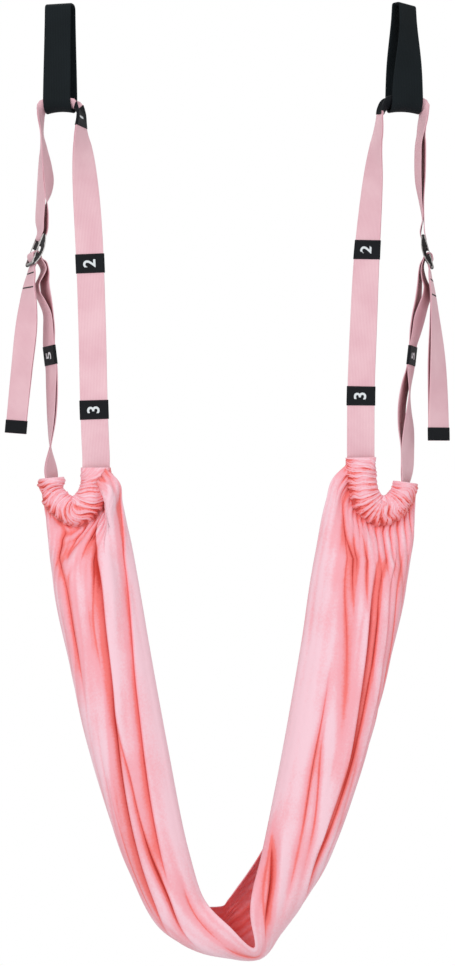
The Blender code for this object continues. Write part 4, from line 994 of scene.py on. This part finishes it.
# Each station: x, z, half its width and depth, the angles of its front and rear hems, and how far its
# rear slips along.
SLING_STATIONS = [
    (-193, -768, 57, 30, 14, 212, 0), (-170.5, -893.4, 56, 34, 14, 240, 0),
    (-138.2, -1047.4, 52.4, 36, 16, 275, 0), (-99.1, -1184.2, 44.5, 40, 26, 300, 0),
    (-63.9, -1256.1, 40.4, 44, 35, 280, 0), (-8, -1283, 36, 48, 68, 305, -12),
    (22.4, -1278, 46.5, 48, 112, 328, -8), (35.4, -1259.6, 43.5, 48, 80, 334, 6),
    (83, -1183, 47, 42, 30, 320, -5), (122.7, -1058.7, 56, 38, 12, 295, 0),
    (158.5, -894, 63.5, 35, 14, 250, 0), (181.5, -768, 66.5, 32, 14, 215, 0)]
# Each fold: its kind, its depth and width, how deep its painted shade gets and over what width, and the
# line that it follows on the near side, as x, z and strength. Below zero, that is a painted highlight along a ridge.
FOLDS = [
    ("crease", 4.5, 4, 0.6, 9, [
        (-231, -728, 0.6), (-233, -755, 1), (-226, -822, 1), (-221, -860, 1), (-210, -915, 0.8),
        (-201, -970, 0)]),
    ("lap", 5.5, 8, 0.95, 10.5, [
        (-184, -674, 0.5), (-181.7, -706, 0.8), (-180, -748, 0.9), (-175.5, -817, 0.8), (-169, -879, 0.9),
        (-162.8, -935, 0.9), (-155.9, -990, 1.1), (-149, -1046, 1.2), (-142, -1101, 1.2), (-135.9, -1129, 1.2),
        (-129, -1157, 1.1), (-122, -1184, 1), (-115, -1212, 0.9), (-103.5, -1240, 0.8), (-90.6, -1268, 0.8),
        (-82.7, -1291, 0.3)]),
    ("lap", 4, 6, 1.1, 7, [
        (-158.9, -963, 0), (-154.9, -990, 0.5), (-149.9, -1018, 0.6), (-144.2, -1046, 0.6), (-136, -1073, 0.6),
        (-130.4, -1101, 0.6), (-123.4, -1129, 0.6), (-115.3, -1157, 0.7), (-105.4, -1184, 1),
        (-90.2, -1212, 1.3), (-79, -1240, 1.35), (-69.8, -1268, 1.1), (-63.8, -1291, 0.3)]),
    ("lap", 3, 9, 0.72, 13, [
        (-151.2, -678, 0.6), (-147, -748, 0.8), (-142.2, -803, 0.85), (-137.3, -852, 0.9), (-130.7, -935, 1),
        (-124.3, -990, 1), (-117.9, -1046, 1), (-109.6, -1101, 1), (-98.5, -1157, 1), (-93.5, -1184, 0.8),
        (-82, -1219, 0.2)]),
    ("crease", 0, 9, 0.28, 20, [
        (-176, -1046, 0.1), (-165, -1101, 1), (-150, -1157, 1), (-132, -1212, 0.9), (-112, -1254, 0.5)]),
    ("ridge", 2, 15, -0.16, 16, [
        (-128, -730, 0.6), (-115, -850, 1), (-103, -960, 1), (-88, -1060, 1), (-66, -1160, 1),
        (-45, -1225, 0.7)]),
    ("ridge", 3, 7, -0.14, 6, [
        (-172, -667, 1), (-171, -743, 1), (-168, -785, 1), (-162, -878, 0.8), (-155, -949, 0.8),
        (-148, -1039, 0.8), (-124, -1154, 0.8), (-92, -1246, 0.4)]),
    ("crease", 3.5, 4, 0.5, 6, [
        (-204, -727, 1), (-218, -748, 0.9), (-227, -768, 0.2)]),
    ("crease", 3.5, 5, 0.5, 7, [
        (-189, -727, 1), (-201, -757, 0.9), (-209, -796, 0.1)]),
    ("crease", 3, 6, 0.55, 9, [
        (-183, -752, 0.5), (-190, -789, 1), (-193, -838, 0.8), (-186, -893, 0.5), (-176, -949, 0.1)]),
    ("crease", 3, 7, 0.5, 11, [
        (157, -670, 0.3), (157, -706, 0.9), (157.5, -745, 1), (158.5, -800, 1), (161, -860, 1),
        (161, -905, 0.9), (159, -945, 0.7), (155, -990, 0.45), (149, -1040, 0.1)]),
    ("crease", 3.2, 2.4, 0.5, 4, [
        (137, -914, 0.2), (130.4, -964, 0.8), (124, -1006, 1), (111.5, -1065, 1), (105, -1112, 1),
        (98.5, -1155, 1), (90, -1188, 0.9), (80, -1225, 0.4)]),
    ("crease", 2.6, 2.4, 0.45, 5, [
        (128.9, -1004, 0.5), (122.5, -1047, 1), (120.3, -1075, 1), (116, -1134, 1), (108, -1172, 0.8),
        (96, -1208, 0.4)]),
    ("crease", 3, 2.2, 0.5, 3.5, [
        (155.3, -719, 0.3), (163.7, -748, 0.8), (170, -786, 1), (172, -829, 0.5), (172.5, -850, 0)]),
    ("crease", 2.6, 2.2, 0.45, 3.5, [
        (169.2, -730, 0.6), (170.2, -754, 1), (174.3, -782, 0.7), (176, -810, 0)]),
    ("crease", 2.8, 2.4, 0.55, 4, [
        (178.5, -725, 0.2), (184, -765, 0.9), (188.9, -803, 0.9), (188.9, -829, 0.5), (188, -850, 0)]),
    ("lap", 5, 5.5, 0.95, 8, [
        (202, -755, 0.1), (198, -790, 0.6), (195.3, -813, 0.8), (188.9, -849, 1), (184.7, -890, 1.1),
        (178.5, -943, 1.1), (172.3, -985, 1.05), (163.9, -1039, 1), (155, -1072, 0.9), (143, -1108, 0.8),
        (129, -1144, 0.75), (116, -1187, 0.7), (100, -1222, 0.5), (86, -1262, 0.2)]),
    ("crease", 2.8, 2.4, 0.55, 4, [
        (212, -745, 0.1), (209, -790, 0.7), (203, -850, 0.9), (195, -915, 0.9), (185, -975, 0.9),
        (172, -1036, 0.9), (161.3, -1069, 0.9), (150.5, -1108, 0.9), (139.7, -1138, 0.8), (124.6, -1177, 0.7),
        (107.4, -1212, 0.4)]),
    ("lap", 3, 4, 0.5, 5, [
        (224, -745, 0.1), (222, -785, 0.7), (217, -840, 0.9), (210, -900, 0.9), (201, -960, 0.9),
        (189, -1015, 0.9), (178.5, -1048, 0.9), (165, -1094, 0.8), (150, -1136, 0.7), (131, -1177, 0.5)]),
    ("crease", 2.6, 3, 0.45, 5, [
        (236, -745, 0.1), (234, -785, 0.8), (229, -835, 0.9), (221, -895, 0.8), (211, -955, 0.8),
        (199, -1005, 0.6), (186, -1045, 0.2)]),
    ("crease", 2.2, 3, 0.4, 5, [
        (248, -735, 0.1), (245, -770, 0.7), (239, -815, 0.6), (231, -865, 0.2)]),
    ("ridge", 1.8, 6, -0.2, 9, [
        (141, -960, 0.3), (136, -1004, 1), (132, -1060, 1), (128, -1100, 0.8), (121, -1150, 0.3)]),
    ("crease", 0, 6, 0.42, 13, [
        (60, -1120, 0), (54, -1165, 0.9), (45, -1210, 1), (42, -1250, 1), (48, -1285, 0.5)]),
    ("lap", 4, 6, 1, 11, [
        (54, -1164, 0.6), (53, -1215, 1), (47, -1247, 1), (46, -1275, 0.4)]),
    ("ridge", 3, 8, -0.14, 8, [
        (73, -1150, 0.6), (72, -1185, 1), (68, -1225, 1), (63, -1262, 0.5)]),
    ("crease", 3, 9, 0.3, 12, [
        (-67, -1219, 0.5), (-53, -1254, 1), (-32, -1282, 1), (-10, -1302, 0.5)]),
    ("crease", 3, 4, 0.6, 6, [
        (-5, -1312, 0.4), (20, -1318, 1), (40, -1316, 0.4)]),
]


def signed_power(value, power):
    return np.sign(value) * np.abs(value) ** power


def unit(values):
    return values / np.maximum(np.linalg.norm(values, axis=2, keepdims=True), 1e-9)


def seam_row(side):
    """Where the cloth leaves a channel, from the front hem, on the channel's near face, to the rear."""
    rows, along = channel_path(side, 1.0)
    line = []
    for share in np.linspace(0, 1, SLING_COLUMNS + 1):
        distance = side["seam_start"] + (along[-1] - side["seam_end"] - side["seam_start"]) * share
        index = int(np.searchsorted(along, distance))
        out, near = channel_frame(rows, index, side["sign"])
        swing = math.radians(np.interp(share, *side["seam_turn"]))
        reach = np.array(out) * (rows[index][3] - 2.5) * math.cos(swing)
        line.append(rows[index][:3] + reach + np.array(near) * (rows[index][4] + 1.5) * math.sin(swing))
    return np.array(line)


def shoulder_row(seam, station_row, down, inner_swell, outer_swell, near_swell):
    """A row below the seam, where the cloth swells out past the channel on both sides."""
    share = np.linspace(0, 1, SLING_COLUMNS + 1)
    swell = inner_swell * np.exp(-share / 0.15) + outer_swell * np.exp(-((share - 0.82) / 0.15) ** 2)
    forward = near_swell * np.exp(-((share - 0.12) / 0.12) ** 2)
    return (1 - down) * seam + down * station_row + np.stack((swell, -forward, 0 * swell), axis=1)


middles = np.array([(x, 0.0, z) for x, z, *_ in SLING_STATIONS])
keys = []
for index, (x, z, half_across, half_depth, front, rear, slip) in enumerate(SLING_STATIONS):
    tangent = middles[min(index + 1, len(middles) - 1)] - middles[max(index - 1, 0)]
    tangent /= np.linalg.norm(tangent)
    inward = np.array((-tangent[2], 0.0, tangent[0]))
    if inward[2] < 0 and abs(inward[0]) < 0.5:
        inward = -inward
    angles = np.radians(np.linspace(front, rear, SLING_COLUMNS + 1))
    across = signed_power(np.cos(angles), 0.8) * half_across
    near = signed_power(np.sin(angles), 0.8) * half_depth
    row = np.array((x, SLING_MIDDLE_Y, z)) + across[:, None] * inward - near[:, None] * np.array((0, 1, 0))
    rearward = np.clip(np.linspace(0, 1, SLING_COLUMNS + 1) - 0.6, 0, 0.4) / 0.4
    keys.append(row + (slip * rearward ** 2)[:, None] * tangent)
for name, end in (("left", 0), ("right", -1)):
    seam = seam_row(SIDES[name])
    rows = [seam] + [shoulder_row(seam, keys[end], *numbers) for numbers in SIDES[name]["shoulders"]]
    keys = rows + keys if name == "left" else keys + rows[::-1]
middle = SLING_COLUMNS // 2
spans = [np.linalg.norm(after[middle] - before[middle]) for before, after in zip(keys, keys[1:])]
steps = [SHOULDER_STEP] * 3 + [SLING_STEP] * (len(spans) - 6) + [SHOULDER_STEP] * 3
counts = [math.ceil(span / step) for span, step in zip(spans, steps)]
base = smooth_rows([row.reshape(-1) for row in keys], np.concatenate(([0], np.cumsum(spans))), counts)
base = base.reshape(-1, SLING_COLUMNS + 1, 3)


def blurred(values, times, axis):
    for _ in range(times):
        padded = np.concatenate((np.take(values, [0], axis), values, np.take(values, [-1], axis)), axis)
        before, here, after = (np.take(padded, range(k, k + values.shape[axis]), axis) for k in (0, 1, 2))
        values = (before + 2 * here + after) / 4
    return values


def outward_normals(points):
    normals = unit(np.cross(np.gradient(points, axis=0), np.gradient(points, axis=1)))
    return -normals if np.sum((points - centre_line) * normals) < 0 else normals


def summed_steps(points, axis):
    """How far each point lies along its row or its column."""
    steps = np.cumsum(np.linalg.norm(np.diff(points, axis=axis), axis=2), axis=axis)
    return np.concatenate((np.zeros_like(np.take(steps, [0], axis)), steps), axis=axis)


centre_line = base.mean(axis=1, keepdims=True)
normals = outward_normals(base)
arc = summed_steps(base, 1)
# A fold's line is laid down where the camera sees it.
nearness = CAMERA.y / (CAMERA.y - base[..., 1])
seen_x = CAMERA.x + (base[..., 0] - CAMERA.x) * nearness
seen_z = CAMERA.z + (base[..., 2] - CAMERA.z) * nearness
hidden = np.where(normals[..., 1] > -0.02, 1e6, 0.0)
row_numbers = np.arange(len(base))
lines = []
density = np.ones_like(arc)
for *_, line in FOLDS:
    found = []
    for x, z, power in line:
        cost = (seen_x - x) ** 2 + (seen_z - z) ** 2 + hidden
        i, j = np.unravel_index(np.argmin(cost), cost.shape)
        found.append((i, arc[i, j], power))
    found_rows, found_arcs, found_powers = zip(*sorted(found))
    place = blurred(np.interp(row_numbers, found_rows, found_arcs), 30, 0)[:, None]
    power = blurred(np.interp(row_numbers, found_rows, found_powers, left=0, right=0), 12, 0)[:, None]
    lines.append((place, power))
    density += 3.0 * power * np.exp(-((arc - place) / 4.5) ** 2)

# The columns crowd at the fold lines, so that each fold has a clean edge.
for i in range(len(base)):
    amount = np.concatenate(([0], np.cumsum((density[i, 1:] + density[i, :-1]) * np.diff(arc[i]))))
    chosen = np.interp(np.linspace(0, amount[-1], SLING_COLUMNS + 1), amount, arc[i])
    base[i] = np.stack([np.interp(chosen, arc[i], base[i, :, axis]) for axis in range(3)], axis=1)
normals = outward_normals(base)
arc = summed_steps(base, 1)
width = arc[:, -1:]
distance = blurred(summed_steps(base, 0), 3, 1)
from_seam = np.minimum(distance, distance[-1] - distance)
push = np.zeros_like(arc)
shift = np.zeros_like(arc)
painted_tones = 0.06 + 0.03 * (base[..., 0] > 0)
# Painted shade in the creases and under the laps, and a painted highlight along the ridges.
for (kind, depth, fold_width, shade_amount, shade_width, _), (place, power) in zip(FOLDS, lines):
    off = arc - place
    if kind == "ridge":
        push += depth * power * np.exp(-(off / fold_width) ** 2)
        painted_tones += shade_amount * power * np.exp(-(off / shade_width) ** 2)
        continue
    beyond = np.maximum(off, 0)
    painted_tones += 0.55 * shade_amount * power * np.exp(-(off / 1.5) ** 2)
    if kind == "crease":
        push -= depth * power * np.exp(-np.abs(off) / fold_width)
        painted_tones += shade_amount * power * np.exp(-np.abs(off / shade_width) ** 1.5)
        shift -= 0.3 * off * power * np.exp(-(off / fold_width) ** 2)
    else:
        over = 0.5 - 0.5 * np.tanh(off / 1.1)
        step = 0.8 * over * np.exp(np.minimum(off, 0) / 16) - (1 - over) * np.exp(-beyond / fold_width)
        push += power * depth * step
        painted_tones += power * shade_amount * (1 - over) * np.exp(-(beyond / shade_width) ** 1.5)
        shift += power * 4.5 * over * np.exp(np.minimum(off, 0) / 6)

# Pleats fan out from the seams, some short and some long, and faint long wrinkles run all over. In
# the trough's far side the slack lies in small soft waves. Of each arm: a seed, the pleats' longest
# reach, how many there are, how far they slant, how long they stay straight, and the wrinkles' depth.
ARM_PLEATS = {True: (2.5, 75, 12.5, 2.6, 50, 0.5), False: (8.1, 34, 16.5, 0.3, 160, 1.0)}
for i, j in np.ndindex(arc.shape):
    v = arc[i, j] / width[i, 0]
    s = from_seam[i, j]
    far = distance[i, j]
    seed, longest, pleats, slant, straight, wrinkles = ARM_PLEATS[bool(far < distance[-1, j] / 2)]
    reach = 16 + longest * limited(0.45 + 1.5 * noise_at(v * 7, seed, 5.5))
    fade = math.exp(-(s / reach) ** 1.3) * min(1.0, 0.35 + s / 12)
    near_seam = math.exp(-s / 9)
    turn = pleats * v - slant * (1 - math.exp(-s / 40)) + 1.2 * noise_at(v * 5, s / straight, seed)
    ruffle = abs(math.sin(math.pi * turn))
    bunch = abs(math.sin(math.pi * 2 * turn + 2.5 * noise_at(v * 16, s / 9, 3.3)))
    edge_fade = min(1.0, 12 * v, 12 * (1 - v))
    push[i, j] += (5.0 * fade * (ruffle - 0.55) + 4.6 * near_seam * (bunch - 0.25)) * edge_fade
    # Painted shade in the pleats' hollows, deepest near the seams.
    painted_tones[i, j] += fade * (0.85 * (1 - ruffle) ** 2.5 + 0.1) + near_seam * (0.45 + 0.7 * (1 - bunch) ** 2)
    streak = noise_at(v * 26, far / 190, 4.4)
    outer_half = min(1.0, max(0.0, (v - 0.3) / 0.1), max(0.0, (1 - v) / 0.1)) * min(1.0, s / 60)
    amount = outer_half * limited(0.5 + 1.6 * noise_at(v * 8, far / 130, 6.6)) * wrinkles
    long_pleat = abs(math.sin(math.pi * (15 * v + 0.9 * noise_at(v * 4, far / 210, 9.1))))
    swell = 1.2 * noise_at(v * 11, far / 170, 7.7) * min(1.0, 8 * v)
    push[i, j] += 2.0 * amount * (long_pleat - 0.5) + 0.5 * streak + swell
    # Painted shade in the wrinkles' hollows, and a painted highlight where the streaks swell out.
    painted_tones[i, j] += 0.5 * amount * (1 - long_pleat) ** 2.5 - 0.16 * streak
    if v > 0.6 and base[i, j, 2] < TROUGH_TOP:
        slack = min(1.0, (v - 0.6) / 0.12) * math.exp(-((base[i, j, 0] - TROUGH_MIDDLE_X) / TROUGH_REACH) ** 2)
        wave = abs(math.sin(math.pi * (arc[i, j] / 11 + 1.4 * noise_at(v * 6, far / 40, 2.2))))
        push[i, j] += 3.6 * slack * (wave - 0.5) * min(1.0, (1 - v) / 0.08)
        # Painted shade in the waves' hollows.
        painted_tones[i, j] += 0.5 * slack * (1 - wave) ** 2
push = blurred(push, 2, 0)[..., None]
shift = blurred(shift, 2, 0)[..., None]
painted_tones = np.clip(blurred(painted_tones, 2, 0), 0, 1.1)
surface = base + normals * push + unit(np.gradient(base, axis=1)) * shift
hem = np.minimum(arc, width - arc)
thick = outward_normals(surface) * (CLOTH_THICKNESS / 2 + HEM_THICKENING * (hem < HEM_WIDTH))[..., None]


def both_faces(outer, inner):
    return np.concatenate((outer, inner[:, ::-1]), axis=1)


# The ends of the two faces are joined at the seams, and the cloth's inside is darker with painted shade.
around = 2 * SLING_COLUMNS + 2
ends = []
for first in (0, (len(base) - 1) * around):
    ends += [[first + k for k in (j, j + 1, around - 2 - j, around - 1 - j)] for j in range(SLING_COLUMNS)]
sling = cloth_piece(
    "hanging_sling_cloth", both_faces(surface + thick, surface - thick), both_faces(painted_tones, 0.44 + 0.4 * painted_tones),
    both_faces(hem, hem) * MM, np.stack((both_faces(arc, arc), both_faces(distance, distance)), axis=2), ends)
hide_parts("sling_cloth")
cut_length = float(summed_steps(surface, 0)[-1].mean()) * MM
